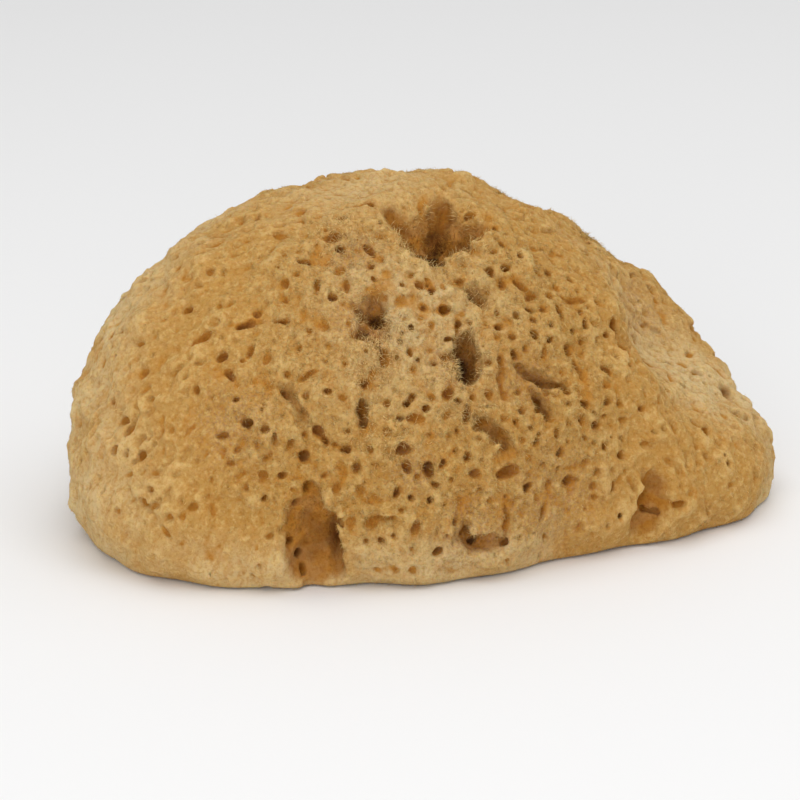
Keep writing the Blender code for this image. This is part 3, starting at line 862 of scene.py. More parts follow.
    def outer(self, points: np.ndarray) -> np.ndarray:
        """How much a spot belongs to the streaked flanks, from 0 near a heart of growth to 1."""
        patches = Noise(self.seed + Chance.PATCHES).at(points / self.patch_cell)
        flank = smooth_step(*self.flank_angles, self.growth.from_hearts(points))
        return np.clip(flank - self.patch_share * np.maximum(patches, 0), 0, 1)

    def roughen(self, field: Field) -> None:
        """Gives the skin its bumps and its streaks, in a band about the surface."""
        flat = field.values.reshape(-1)
        band = np.flatnonzero(np.abs(flat) < self.rough_band)
        points = field.places(band)
        outer = self.outer(points)
        rise = np.zeros(len(points))
        for bump in BUMPS:
            bumps = Noise(self.seed + bump.chance).at(points / bump.cell)
            rise += (bump.rise + bump.gain * outer) * MM * bumps
        rise += self.streak_rise * outer * self.streaks(points)
        above = smooth_step(0.0, self.rough_from, points[:, 2])
        flat[band] -= (rise * above).astype(np.float32)

    def surface_spots(self, field: Field, ways: np.ndarray) -> np.ndarray:
        """Where the lines from the form's centre come out of the tissue.

        Args:
            field: The tissue.
            ways: Unit directions, one to a row.

        Returns:
            One point to a line, for the lines that meet the surface.
        """
        reach = self.form.reach(ways) + self.probe_start
        inwards = np.arange(0, self.probe_depth, self.probe_step)
        lines = ways[:, None, :] * (reach[:, None] - inwards[None, :])[:, :, None]
        placed = self.form.placed(lines.reshape(-1, 3))
        distance = field.at(placed).reshape(len(ways), -1)
        inside = distance < 0
        met = np.flatnonzero(inside.any(axis=1) & ~inside[:, 0])
        entry = inside.argmax(axis=1)[met]
        before, after = distance[met, entry - 1], distance[met, entry]
        share = (before / (before - after))[:, None]
        placed = placed.reshape(len(ways), -1, 3)
        return placed[met, entry - 1] * (1 - share) + placed[met, entry] * share

    def pore_spots(self, field: Field) -> tuple[np.ndarray, np.ndarray]:
        """Spots for the scattered pores in a mixed order, and the directions straight out there."""
        draw = np.random.default_rng(self.seed)
        rule = self.scatter
        strays = draw.normal(0, rule.unevenness, (rule.candidates, 3))
        spots = self.surface_spots(field, unit(spiral(rule.candidates) + strays))
        sunk = -self.form.distance(spots)
        spots = spots[(spots[:, 2] > rule.lowest) & (sunk < rule.deepest)]
        draw.shuffle(spots)
        return spots, field.outward(spots, self.pore_span)

    def sow_pores(self, field: Field, skin: Field) -> int:
        """Carves the pits that the photograph shows, then the scattered pores between them.

        Args:
            field: The tissue to carve.
            skin: The tissue before it was roughened.

        Returns:
            How many pores there are.
        """
        draw = np.random.default_rng(self.seed + Chance.PORES)
        rule = self.scatter
        openings = self.uncut(field)
        taken = self.sow_pits(openings, skin)
        spots, normals = self.pore_spots(skin)
        ways = self.growth.way(spots, normals)
        outer = self.outer(spots)
        shown = normals @ self.viewpoint.axes[2] > rule.facing
        centres = np.zeros((len(spots) + len(taken), 3))
        rooms = np.zeros(len(centres))
        for index, (spot, room) in enumerate(taken):
            centres[index], rooms[index] = spot, room
        count = len(taken)
        for spot, normal, way, outness, seen in zip(spots, normals, ways, outer, shown):
            is_long = draw.random() < rule.long_share + rule.long_gain * outness
            style = PoreStyle.LONG if is_long else PoreStyle.ROUND
            radii = self.pore_radii(style, draw)
            gap = draw.uniform(*rule.gaps) * (1 - rule.flank_crowding * outness) * MM
            room = rule.room_share * math.sqrt(radii[0] * radii[1]) + gap
            if seen:
                radii = radii * rule.shown_size
                room += rule.shown_gap * (1 - outness) * MM
                low = 1 - smooth_step(*rule.foot_heights, spot[2])
                radii = radii * (1 - rule.foot_shrinking * low)
                room += rule.foot_gap * low * MM
            near = np.linalg.norm(centres[:count] - spot, axis=1)
            if np.any(near < rooms[:count] + room):
                continue
            centres[count], rooms[count] = spot, room
            count += 1
            swing = draw.normal(0, rule.long_swing if is_long else rule.round_swing)
            self.sow_cluster(openings, spot, normal, way, swing, radii, draw)
        seed = self.seed + Chance.PORE_WALLS
        self.open_up(field, openings, self.pore_waver, self.pore_waver_cell, self.pore_softness, seed)
        return count + self.open_base(field, draw)

    def sow_pits(self, openings: Field, skin: Field) -> list[tuple[np.ndarray, float]]:
        """Carves the pits that the photograph shows.

        Args:
            openings: The openings to add them to.
            skin: The tissue before it was roughened.

        Returns:
            The spot and the radius that each one takes up.
        """
        draw = np.random.default_rng(self.seed + Chance.PITS)
        pits = LEFT_PITS + CROWN_PITS + MIDDLE_PITS + RIGHT_PITS
        spots = self.viewpoint.spots(np.array([(pit.x, pit.y) for pit in pits]), skin)
        normals = skin.outward(spots, self.pit_span)
        ways = self.viewpoint.leaning(normals, np.array([pit.lean for pit in pits]))
        for pit, spot, normal, way, outness in zip(pits, spots, normals, ways, self.outer(spots)):
            half_width = pit.width / 2 * self.pit_growth
            half_length = pit.length / 2 * self.pit_growth
            depth = pit.depth * self.pit_deepening * (1 - self.flank_shallowing * outness)
            radii = np.array((half_width, half_length, depth)) * MM
            self.sow_cluster(openings, spot, normal, way, 0.0, radii, draw)
        return [(spot, self.pit_room * (pit.width + pit.length) * MM) for pit, spot in zip(pits, spots)]

    def sow_cluster(
        self,
        openings: Field,
        spot: np.ndarray,
        normal: np.ndarray,
        way: np.ndarray,
        swing: float,
        radii: np.ndarray,
        draw: np.random.Generator,
    ) -> None:
        """Carves one pore, and now and then a smaller one that runs into it.

        Args:
            openings: The openings to add it to.
            spot: Its middle on the surface.
            normal: The direction straight out.
            way: The direction of its length.
            swing: An angle in radians by which its length is turned.
            radii: Half its width and length, and its depth.
            draw: The source of chance.
        """
        side = np.cross(way, normal)
        across = side * math.cos(swing) + way * math.sin(swing)
        along = way * math.cos(swing) - side * math.sin(swing)
        axes = np.stack((across, along, normal))
        openings.carve(spot, axes, radii, self.pore_softness)
        rule = self.scatter
        if draw.random() < rule.twin_share:
            strays = [draw.normal(0, stray) for stray in rule.twin_strays]
            aside = across * strays[0] * radii[0] + along * strays[1] * radii[1]
            openings.carve(spot + aside, axes, radii * rule.twin_size, self.pore_softness)

    def pore_radii(self, style: PoreStyle, draw: np.random.Generator) -> np.ndarray:
        """Half the width, half the length and the depth of a pore of one style."""
        rule = self.scatter
        if style is PoreStyle.LONG:
            half = draw.uniform(*rule.long_halves) * MM
            length = half * draw.uniform(*rule.long_lengths)
            return np.array((half, length, half * draw.uniform(*rule.long_depths)))
        is_small = draw.random() < rule.small_share
        half = draw.uniform(*(rule.small_halves if is_small else rule.large_halves)) * MM
        depth = draw.uniform(*(rule.round_depths if style is PoreStyle.ROUND else rule.cut_depths))
        return np.array((half, half * draw.uniform(*rule.round_lengths), half * depth))

    def open_base(self, field: Field, draw: np.random.Generator) -> int:
        """Carves the channels that the flat cut lays open, and returns how many there are."""
        centres: list[np.ndarray] = []
        rooms: list[float] = []
        rule = self.scatter
        half = np.array((self.form.length / 2, self.form.depth / 2))
        for flat in draw.uniform(-1, 1, (rule.base_candidates, 2)) * half:
            spot = np.array((flat[0], flat[1], self.base_level))
            if field.at(spot[None] + (0, 0, rule.base_probe))[0] > rule.base_cover:
                continue
            radii = self.pore_radii(PoreStyle.CUT, draw)
            if draw.random() < rule.wide_share:
                radii *= draw.uniform(*rule.wide_growth)
            room = radii[1] + rule.base_gap
            apart = np.linalg.norm(np.reshape(centres, (-1, 3)) - spot, axis=1)
            if np.any(apart < np.array(rooms) + room):
                continue
            centres.append(spot)
            rooms.append(room)
            turn = draw.uniform(0, math.pi)
            cosine, sine = math.cos(turn), math.sin(turn)
            axes = np.array(((cosine, sine, 0), (-sine, cosine, 0), (0, 0, 1)))
            field.carve(spot, axes, radii, self.pore_softness)
        return len(centres)

    def build(self) -> tuple[Field, Field, Field]:
        """Makes the fields of the form, of the skin with its outlets, and of the finished tissue."""
        form_field = self.grow()
        skin = form_field.copy()
        self.hollow_out(skin)
        skin.cut_below(self.base_level, self.base_softness)
        tissue = skin.copy()
        self.roughen(tissue)
        tissue.cut_below(self.base_level, self.base_edge)
        pores = self.sow_pores(tissue, skin)
        log.info("tissue: %d pores on a grid of %s", pores, tissue.values.shape)
        return form_field, skin, tissue


@dataclass(frozen=True)
class Blot:
    """A soft round patch of colour on the form. Its spread is in degrees."""

    bearing: float
    climb: float
    spread: float
    strength: float = 1.0


FLUFFS = (Blot(-3, 48, 13, 0.85), Blot(-70, 78, 11, 0.7))

# Soft patches in which the tissue is flecked with mauve.
MAUVE_PATCHES = (
    Blot(-37, 20, 7), Blot(-16, 46, 6), Blot(-25, 60, 5), Blot(31, 32, 6), Blot(0, 14, 5),
    Blot(14, -1, 10), Blot(11, 38, 6), Blot(34, 2, 13), Blot(160, 30, 9), Blot(-150, 8, 8),
    Blot(100, 30, 7), Blot(-110, 20, 8),
)


def blotted(seen: np.ndarray, blots: tuple[Blot, ...]) -> np.ndarray:
    """How strongly the blots cover each unit direction."""
    cover = np.zeros(len(seen))
    for blot in blots:
        apart = np.degrees(angle_from(seen, blot.bearing, blot.climb))
        cover = np.maximum(cover, blot.strength * bell(apart, blot.spread))
    return cover


@dataclass(frozen=True)
class Masks:
    """Where the tissue is raised, deep, grooved, pale or flecked with mauve, as numbers that its finishes
    read. From them the finishes paint light on raised tissue, shade in deep tissue and outlets, and in part
    a rim glow where it is pale.
    """

    form: GrownForm
    tissue: Tissue
    form_field: Field
    skin: Field
    lobe: tuple[float, float] = (60, -5)
    lobe_angles: tuple[float, float] = (18, 30)
    pale_angles: tuple[float, float] = (50, 78)
    foot_heights: tuple[float, float] = (4 * MM, 14 * MM)
    foot_paleness: float = 0.8

    def read(self, points: np.ndarray) -> dict[str, np.ndarray]:
        """The masks at each point.

        Args:
            points: Points of the sponge's frame, one to a row.

        Returns:
            The masks by name: relief and depth in millimetres, and shares from 0 to 1.
        """
        seen = unit(self.form.seen_from_centre(points))
        outer = self.tissue.outer(points)
        # Partly painted light: the pale mask covers the outer flanks and the base, away from the right
        # lobe. The chalk laid there is partly the tissue's own paler outer zone and partly a painted rim
        # glow.
        pale = smooth_step(*self.pale_angles, self.tissue.growth.from_hearts(points))
        foot = self.foot_paleness * (1 - smooth_step(*self.foot_heights, points[:, 2]))
        from_lobe = np.degrees(angle_from(seen, *self.lobe))
        flank = np.maximum(pale, foot) * smooth_step(*self.lobe_angles, from_lobe)
        return {
            "relief": self.skin.at(points) / MM,
            "outlet_depth": np.maximum(-self.form_field.at(points) / MM, 0),
            "outer": outer,
            "groove": np.clip(-self.tissue.streaks(points) * outer, 0, 1),
            "grain": self.tissue.growth.grain(points),
            "pale": np.maximum(flank, blotted(seen, FLUFFS)),
            "mauve_patch": blotted(seen, MAUVE_PATCHES),
        }


def mesh_object(name: str, points: np.ndarray, corners: np.ndarray) -> bpy.types.Object:
    """An object from arrays.

    Args:
        name: The object's name.
        points: The points, one to a row.
        corners: The point numbers of each face, one face to a row.

    Returns:
        The object, in the scene, shaded smooth.
    """
    mesh = bpy.data.meshes.new(name)
    faces, sides = corners.shape
    mesh.vertices.add(len(points))
    mesh.vertices.foreach_set("co", points.astype(np.float32).ravel())
    mesh.loops.add(faces * sides)
    mesh.loops.foreach_set("vertex_index", corners.astype(np.int32).ravel())
    mesh.polygons.add(faces)
    mesh.polygons.foreach_set("loop_start", np.arange(0, faces * sides, sides, dtype=np.int32))
    mesh.update(calc_edges=True)
    mesh.shade_smooth()
    piece = bpy.data.objects.new(name, mesh)
    bpy.context.scene.collection.objects.link(piece)
    return piece


def points_of(mesh: bpy.types.Mesh) -> np.ndarray:
    """A mesh's points, one to a row."""
    flat = np.empty(len(mesh.vertices) * 3, np.float32)
    mesh.vertices.foreach_get("co", flat)
    return flat.reshape(-1, 3).astype(float)


def store_masks(mesh: bpy.types.Mesh, masks: dict[str, np.ndarray]) -> None:
    """Writes each mask to the mesh as a number or a vector a point."""
    for name, values in masks.items():
        kind, field = ("FLOAT", "value") if values.ndim == 1 else ("FLOAT_VECTOR", "vector")
        layer = mesh.attributes.new(name, kind, "POINT")
        layer.data.foreach_set(field, values.astype(np.float32).ravel())


@dataclass
class SpongeBody:
    """The closed mesh of the tissue."""

    tissue_field: Field
    masks: Masks
    most_triangles: int = 196000
    field_limit: float = 4 * MM

    def build(self) -> bpy.types.Object:
        """Draws the mesh out of the field, keeps its largest part and thins it out."""
        grid = openvdb.FloatGrid()
        grid.background = self.field_limit
        grid.copyFromArray(np.clip(self.tissue_field.values, -self.field_limit, self.field_limit))
        points, quads = grid.convertToQuads(isovalue=0.0)
        points = self.tissue_field.low + points * self.tissue_field.step
        points, quads = self.largest_part(points, quads.astype(np.int64))
        body = mesh_object("sponge_tissue", points, quads[:, ::-1])
        self.thin_out(body)
        self.settle(body.data)
        store_masks(body.data, self.masks.read(points_of(body.data)))
        log.info("sponge_tissue: %d points, %d faces", len(body.data.vertices), len(body.data.polygons))
        return body

    @staticmethod
    def largest_part(points: np.ndarray, quads: np.ndarray) -> tuple[np.ndarray, np.ndarray]:
        """Leaves out loose crumbs: every part but the one with the most points."""
        label = np.arange(len(points))
        while True:
            lowest = label[quads].min(axis=1)
            spread = label.copy()
            for corner in quads.T:
                np.minimum.at(spread, corner, lowest)
            spread = spread[spread]
            if np.array_equal(spread, label):
                break
            label = spread
        kept = label == np.bincount(label).argmax()
        renumber = np.cumsum(kept) - 1
        return points[kept], renumber[quads[kept[quads[:, 0]]]]

    def thin_out(self, body: bpy.types.Object) -> None:
        """Collapses edges where the surface is plainest until the triangles are few enough."""
        thinning = body.modifiers.new("thinning", "DECIMATE")
        thinning.ratio = self.most_triangles / (2 * len(body.data.polygons))
        thinning.use_collapse_triangulate = True
        graph = bpy.context.evaluated_depsgraph_get()
        thinned = bpy.data.meshes.new_from_object(body.evaluated_get(graph))
        body.modifiers.clear()
        body.data = thinned
        thinned.shade_smooth()

    @staticmethod
    def settle(mesh: bpy.types.Mesh) -> None:
        """Keeps every point above the level that the sponge rests on."""
        points = points_of(mesh)
        points[:, 2] = np.maximum(points[:, 2], 0)
        mesh.vertices.foreach_set("co", points.astype(np.float32).ravel())
        mesh.update()


class FibreKind(Enum):
    """The kinds of fibre that stand on the tissue."""

    NAP = "nap"
    DOWN = "down"
    HAIR = "hair"


@dataclass(frozen=True)
class Fibres:
    """One sowing of fibres: how many, how big, how they lie and how much fewer they are on the flanks."""

    name: str
    kind: FibreKind
    count: int
    lengths: tuple[float, float]
    width: float
    rise: tuple[float, float]
    bend: float = 0.0
    thinning: float = 0.0
    bearings: tuple[float, float] = (-180.0, 180.0)


NAP = Fibres("nap", FibreKind.NAP, 31000, (0.6 * MM, 1.3 * MM), 0.12 * MM, (0.05, 0.5), 0.0, 0.5)

SOWINGS = (
    replace(NAP, name="nap_rear_left", bearings=(-180.0, -90.0)),
    replace(NAP, name="nap_front_left", bearings=(-90.0, 0.0)),
    replace(NAP, name="nap_front_right", bearings=(0.0, 90.0)),
    replace(NAP, name="nap_rear_right", bearings=(90.0, 180.0)),
    Fibres("down", FibreKind.DOWN, 16000, (0.8 * MM, 1.7 * MM), 0.10 * MM, (0.15, 0.6), 0.7, 0.85),
    Fibres("outlet_hairs", FibreKind.HAIR, 3000, (0.9 * MM, 2.2 * MM), 0.10 * MM, (0.3, 0.9), 0.4),
)


@dataclass
class Fleece:
    """The nap of fibres on the tissue. Depths, outlets and the rooting are in millimetres."""

    body: bpy.types.Object
    tissue: Tissue
    tissue_field: Field
    masks: Masks
    bare_depths: tuple[float, float] = (0.2, 0.8)
    bare_outlets: tuple[float, float] = (1.5, 4.0)
    outlet_bareness: float = 0.4
    least_share: float = 0.12
    open_share: float = 0.88
    rim_place: float = 1.08
    rim_spread: float = 0.16
    rim_height: float = 0.7
    rim_cover: float = 0.16
    rim_fading: float = 0.8
    fading_outlets: tuple[float, float] = (1.5, 3.5)
    stray_cover: float = 0.003
    normal_span: float = 0.9 * MM
    flank_combing: float = 1.5
    flank_flattening: float = 0.4
    flank_shortening: float = 0.35
    width_shares: tuple[float, float] = (0.7, 1.2)
    rooting: float = 0.12
    lowest: float = 0.02 * MM
    skew: tuple[float, float, float] = (0.3, 0.1, 0.2)
    knee_place: float = 0.5
    knee_width: float = 0.38
    seed: int = 77

    @cached_property
    def triangles(self) -> np.ndarray:
        """The corner points of the body's triangles."""
        mesh = self.body.data
        mesh.calc_loop_triangles()
        flat = np.empty(len(mesh.loop_triangles) * 3, np.int32)
        mesh.loop_triangles.foreach_get("vertices", flat)
        return points_of(mesh)[flat.reshape(-1, 3)]

    @cached_property
    def middles(self) -> np.ndarray:
        """The middle of each of the body's triangles."""
        return self.triangles.mean(axis=1)

    @cached_property
    def shares(self) -> np.ndarray:
        """The area of each triangle, less where it is down in a pore."""
        sides = self.triangles
        area = np.linalg.norm(np.cross(sides[:, 1] - sides[:, 0], sides[:, 2] - sides[:, 0]), axis=1) / 2
        depth = self.masks.skin.at(self.middles) / -MM
        outlet = self.outlet_bareness * smooth_step(*self.bare_outlets, self.outlets)
        bare = np.maximum(smooth_step(*self.bare_depths, depth), outlet)
        return area * (self.least_share + self.open_share * (1 - bare))

    @cached_property
    def outlets(self) -> np.ndarray:
        """How far in from the smooth form each triangle lies, in millimetres."""
        return self.masks.form_field.at(self.middles) / -MM

    def weights(self, fibres: Fibres) -> np.ndarray:
        """How likely each triangle is to carry a fibre of a sowing."""
        seen = self.tissue.form.seen_from_centre(self.middles)
        bearing = np.degrees(np.arctan2(seen[:, 0], -seen[:, 1]))
        first, last = fibres.bearings
        weight = self.shares * ((bearing >= first) & (bearing < last))
        weight *= 1 - fibres.thinning * self.tissue.outer(self.middles)
        return weight * self.hair_cover() if fibres.kind is FibreKind.HAIR else weight

    def hair_cover(self) -> np.ndarray:
        """How thickly hair covers each triangle: most on the rims of hairy outlets and in the tufts."""
        rim = np.zeros(len(self.middles))
        for hollow in HOLLOWS:
            if hollow.hairy:
                spot, axes = self.tissue.form.frame_at(hollow.bearing, hollow.climb, hollow.turn)
                halves = np.array((hollow.width / 2, hollow.length / 2, hollow.depth))
                local = (self.middles - spot) @ axes.T / halves
                scaled = np.linalg.norm(local[:, :2], axis=1)
                level = np.abs(local[:, 2]) < self.rim_height
                near = bell(scaled - self.rim_place, self.rim_spread) * level
                rim = np.maximum(rim, self.rim_cover * near)
        rim *= 1 - self.rim_fading * smooth_step(*self.fading_outlets, self.outlets)
        places = np.array([(tuft.x, tuft.y) for tuft in TUFTS])
        for tuft, spot in zip(TUFTS, self.tissue.viewpoint.spots(places, self.masks.skin)):
            apart = np.linalg.norm(self.middles - spot, axis=1)
            rim = np.maximum(rim, tuft.thickness * bell(apart, tuft.width / 2 * MM))
        return rim + self.stray_cover

    def roots(self, fibres: Fibres, draw: np.random.Generator) -> np.ndarray:
        """Draws the fibres' roots on the body's triangles."""
        total = np.cumsum(self.weights(fibres))
        chosen = np.searchsorted(total, draw.random(fibres.count) * total[-1])
        first, second = draw.random((2, fibres.count))
        folded = first + second > 1
        first[folded], second[folded] = 1 - first[folded], 1 - second[folded]
        sides = self.triangles[np.minimum(chosen, len(self.triangles) - 1)]
        return (
            sides[:, 0]
            + (sides[:, 1] - sides[:, 0]) * first[:, None]
            + (sides[:, 2] - sides[:, 0]) * second[:, None]
        )

    def build(self, fibres: Fibres) -> bpy.types.Object:
        """Makes one sowing as a joined mesh of closed tapered fibres.

        Args:
            fibres: The sowing.

        Returns:
            The piece, with its masks and with a share from root to tip.
        """
        draw = np.random.default_rng(self.seed + len(fibres.name) * 31 + fibres.count)
        roots = self.roots(fibres, draw)
        normals = self.tissue_field.outward(roots, self.normal_span)
        ways = self.tissue.growth.way(roots, normals)
        loose = unit(np.cross(normals, draw.normal(size=(fibres.count, 3))))
        outer = self.tissue.outer(roots)[:, None]
        combing = draw.uniform(0.0, 1.0, (fibres.count, 1)) + self.flank_combing * outer
        lie = unit(ways * combing + loose)
        rise = draw.uniform(*fibres.rise, fibres.count)[:, None]
        rise *= 1 - self.flank_flattening * outer
        heading = unit(normals * rise + lie * (1 - rise))
        length = draw.uniform(*fibres.lengths, fibres.count)[:, None]
        length = length * (1 - self.flank_shortening * outer)
        width = fibres.width * draw.uniform(*self.width_shares, fibres.count)[:, None]
        turned = unit(heading + fibres.bend * unit(draw.normal(size=(fibres.count, 3))))
        start = roots - normals * self.rooting * MM
        points, corners, share = self.tapered(start, heading, turned, length, width, fibres.kind)
        points[:, 2] = np.maximum(points[:, 2], self.lowest)
        piece = mesh_object(fibres.name, points, corners)
        masks = self.masks.read(roots)
        rows = len(points) // fibres.count
        masks = {name: np.repeat(values, rows, axis=0) for name, values in masks.items()}
        masks["tip"] = share
        masks["strand"] = np.repeat(draw.random(fibres.count), rows)
        store_masks(piece.data, masks)
        log.info("%s: %d fibres, %d triangles", fibres.name, fibres.count, len(corners))
        return piece

    def tapered(
        self,
        start: np.ndarray,
        heading: np.ndarray,
        turned: np.ndarray,
        length: np.ndarray,
        width: np.ndarray,
        kind: FibreKind,
    ) -> tuple[np.ndarray, np.ndarray, np.ndarray]:
        """The points, faces and root to tip shares of three-sided fibres that end in a point.

        Args:
            start: Where each fibre starts.
            heading: Its first direction.
            turned: Its last direction.
            length: Its length.
            width: Its width at the root.
            kind: A nap fibre is straight, and the others have a knee.

        Returns:
            The points, the triangles and each point's share of the way to the tip.
        """
        count = len(start)
        side = unit(np.cross(heading, np.roll(heading, 1, axis=1) + self.skew))[:, None, :]
        over = np.cross(heading[:, None, :], side)
        angles = (np.arange(3) * math.tau / 3)[None, :, None]
        ring = side * np.cos(angles) + over * np.sin(angles)
        rings = [start[:, None, :] + ring * width[:, None, :] / 2]
        tip = start + heading * length
        if kind is not FibreKind.NAP:
            knee = start + heading * length * self.knee_place
            rings.append(knee[:, None, :] + ring * width[:, None, :] * self.knee_width)
            tip = knee + turned * length * self.knee_place
        points = np.concatenate((*rings, tip[:, None, :]), axis=1)
        sides = ((0, 1), (1, 2), (2, 0))
        faces = [(0, 2, 1)]
        if len(rings) > 1:
            for a, b in sides:
                faces += [(a, b, b + 3), (a, b + 3, a + 3)]
        last = points.shape[1] - 4
        faces += [(last + a, last + b, last + 3) for a, b in sides]
        corners = np.arange(count)[:, None, None] * points.shape[1] + np.array(faces)[None]
        share = np.repeat(np.linspace(0, 1, len(rings) + 1), (3,) * len(rings) + (1,))
        return points.reshape(-1, 3), corners.reshape(-1, 3), np.tile(share, count)


@dataclass(frozen=True)
class Tone:
    """A colour of the sponge."""

    red: float
    green: float
    blue: float

    @property
    def rgba(self) -> tuple[float, float, float, float]:
        """The colour as a socket takes it."""
        return (self.red, self.green, self.blue, 1.0)


class Graph:
    """A material's nodes, with short ways to add and join them."""

    def __init__(self, name: str) -> None:
        """Starts a material with its surface shader."""
        self.material = bpy.data.materials.new(name)
        self.material.use_nodes = True
        self.nodes = self.material.node_tree.nodes
        self.links = self.material.node_tree.links
        self.shader = self.nodes["Principled BSDF"]

    def feed(self, socket: bpy.types.NodeSocket, value: object) -> None:
        """Joins a socket to another one, or sets it to a constant."""
        if isinstance(value, bpy.types.NodeSocket):
            self.links.new(value, socket)
        else:
            socket.default_value = value

    def add(self, kind: str, inputs: dict[str | int, object], **settings: object) -> bpy.types.Node:
        """Adds a node.

        Args:
            kind: Its type.
            inputs: What its inputs are fed with, by their names or numbers.
            settings: Its own settings.

        Returns:
            The node.
        """
        node = self.nodes.new(kind)
        for name, value in settings.items():
            setattr(node, name, value)
        for name, value in inputs.items():
            self.feed(node.inputs[name], value)
        return node

    def mask(self, name: str, output: str = "Fac") -> bpy.types.NodeSocket:
        """A mask that the mesh holds."""
        return self.add("ShaderNodeAttribute", {}, attribute_name=name).outputs[output]

    def ramp(self, value: object, low: float, high: float, top: float = 1.0) -> bpy.types.NodeSocket:
        """A soft rise from 0 at low to top at high."""
        inputs = {"Value": value, "From Min": low, "From Max": high, "To Max": top}
        return self.add("ShaderNodeMapRange", inputs, interpolation_type="SMOOTHSTEP").outputs["Result"]

    def arithmetic(self, kind: str, first: object, second: object) -> bpy.types.NodeSocket:
        """Two numbers joined by one operation."""
        return self.add("ShaderNodeMath", {0: first, 1: second}, operation=kind).outputs[0]

    def mix(self, share: object, first: object, second: object, kind: str = "MIX") -> bpy.types.NodeSocket:
        """Two colours mixed by a share."""
        inputs = {"Factor": share, 6: first, 7: second}
        return self.add("ShaderNodeMix", inputs, data_type="RGBA", blend_type=kind).outputs[2]

    def noise_at(
        self, place: bpy.types.NodeSocket, scale: float, detail: float, roughness: float
    ) -> bpy.types.NodeSocket:
        """Noise, read at a place."""
        inputs = {"Vector": place, "Scale": scale, "Detail": detail, "Roughness": roughness}
        return self.add("ShaderNodeTexNoise", inputs).outputs["Fac"]

    def streaks(self, detail: float, roughness: float) -> bpy.types.NodeSocket:
        """Noise that is drawn out along the growth."""
        return self.noise_at(self.mask("grain", "Vector"), 1.0, detail, roughness)

    def noise(self, size: float, detail: float = 2.0, roughness: float = 0.5) -> bpy.types.NodeSocket:
        """Noise in the object's own space, with blotches of about the given size."""
        place = self.add("ShaderNodeTexCoord", {}).outputs["Object"]
        return self.noise_at(place, 1 / size, detail, roughness)

    def lay(
        self, colour: object, tone: Tone, value: object, low: float, high: float, top: float = 1.0
    ) -> bpy.types.NodeSocket:
        """A tone laid over a colour: none where a value is low, and a share of top where it is high."""
        return self.mix(self.ramp(value, low, high, top), colour, tone.rgba)


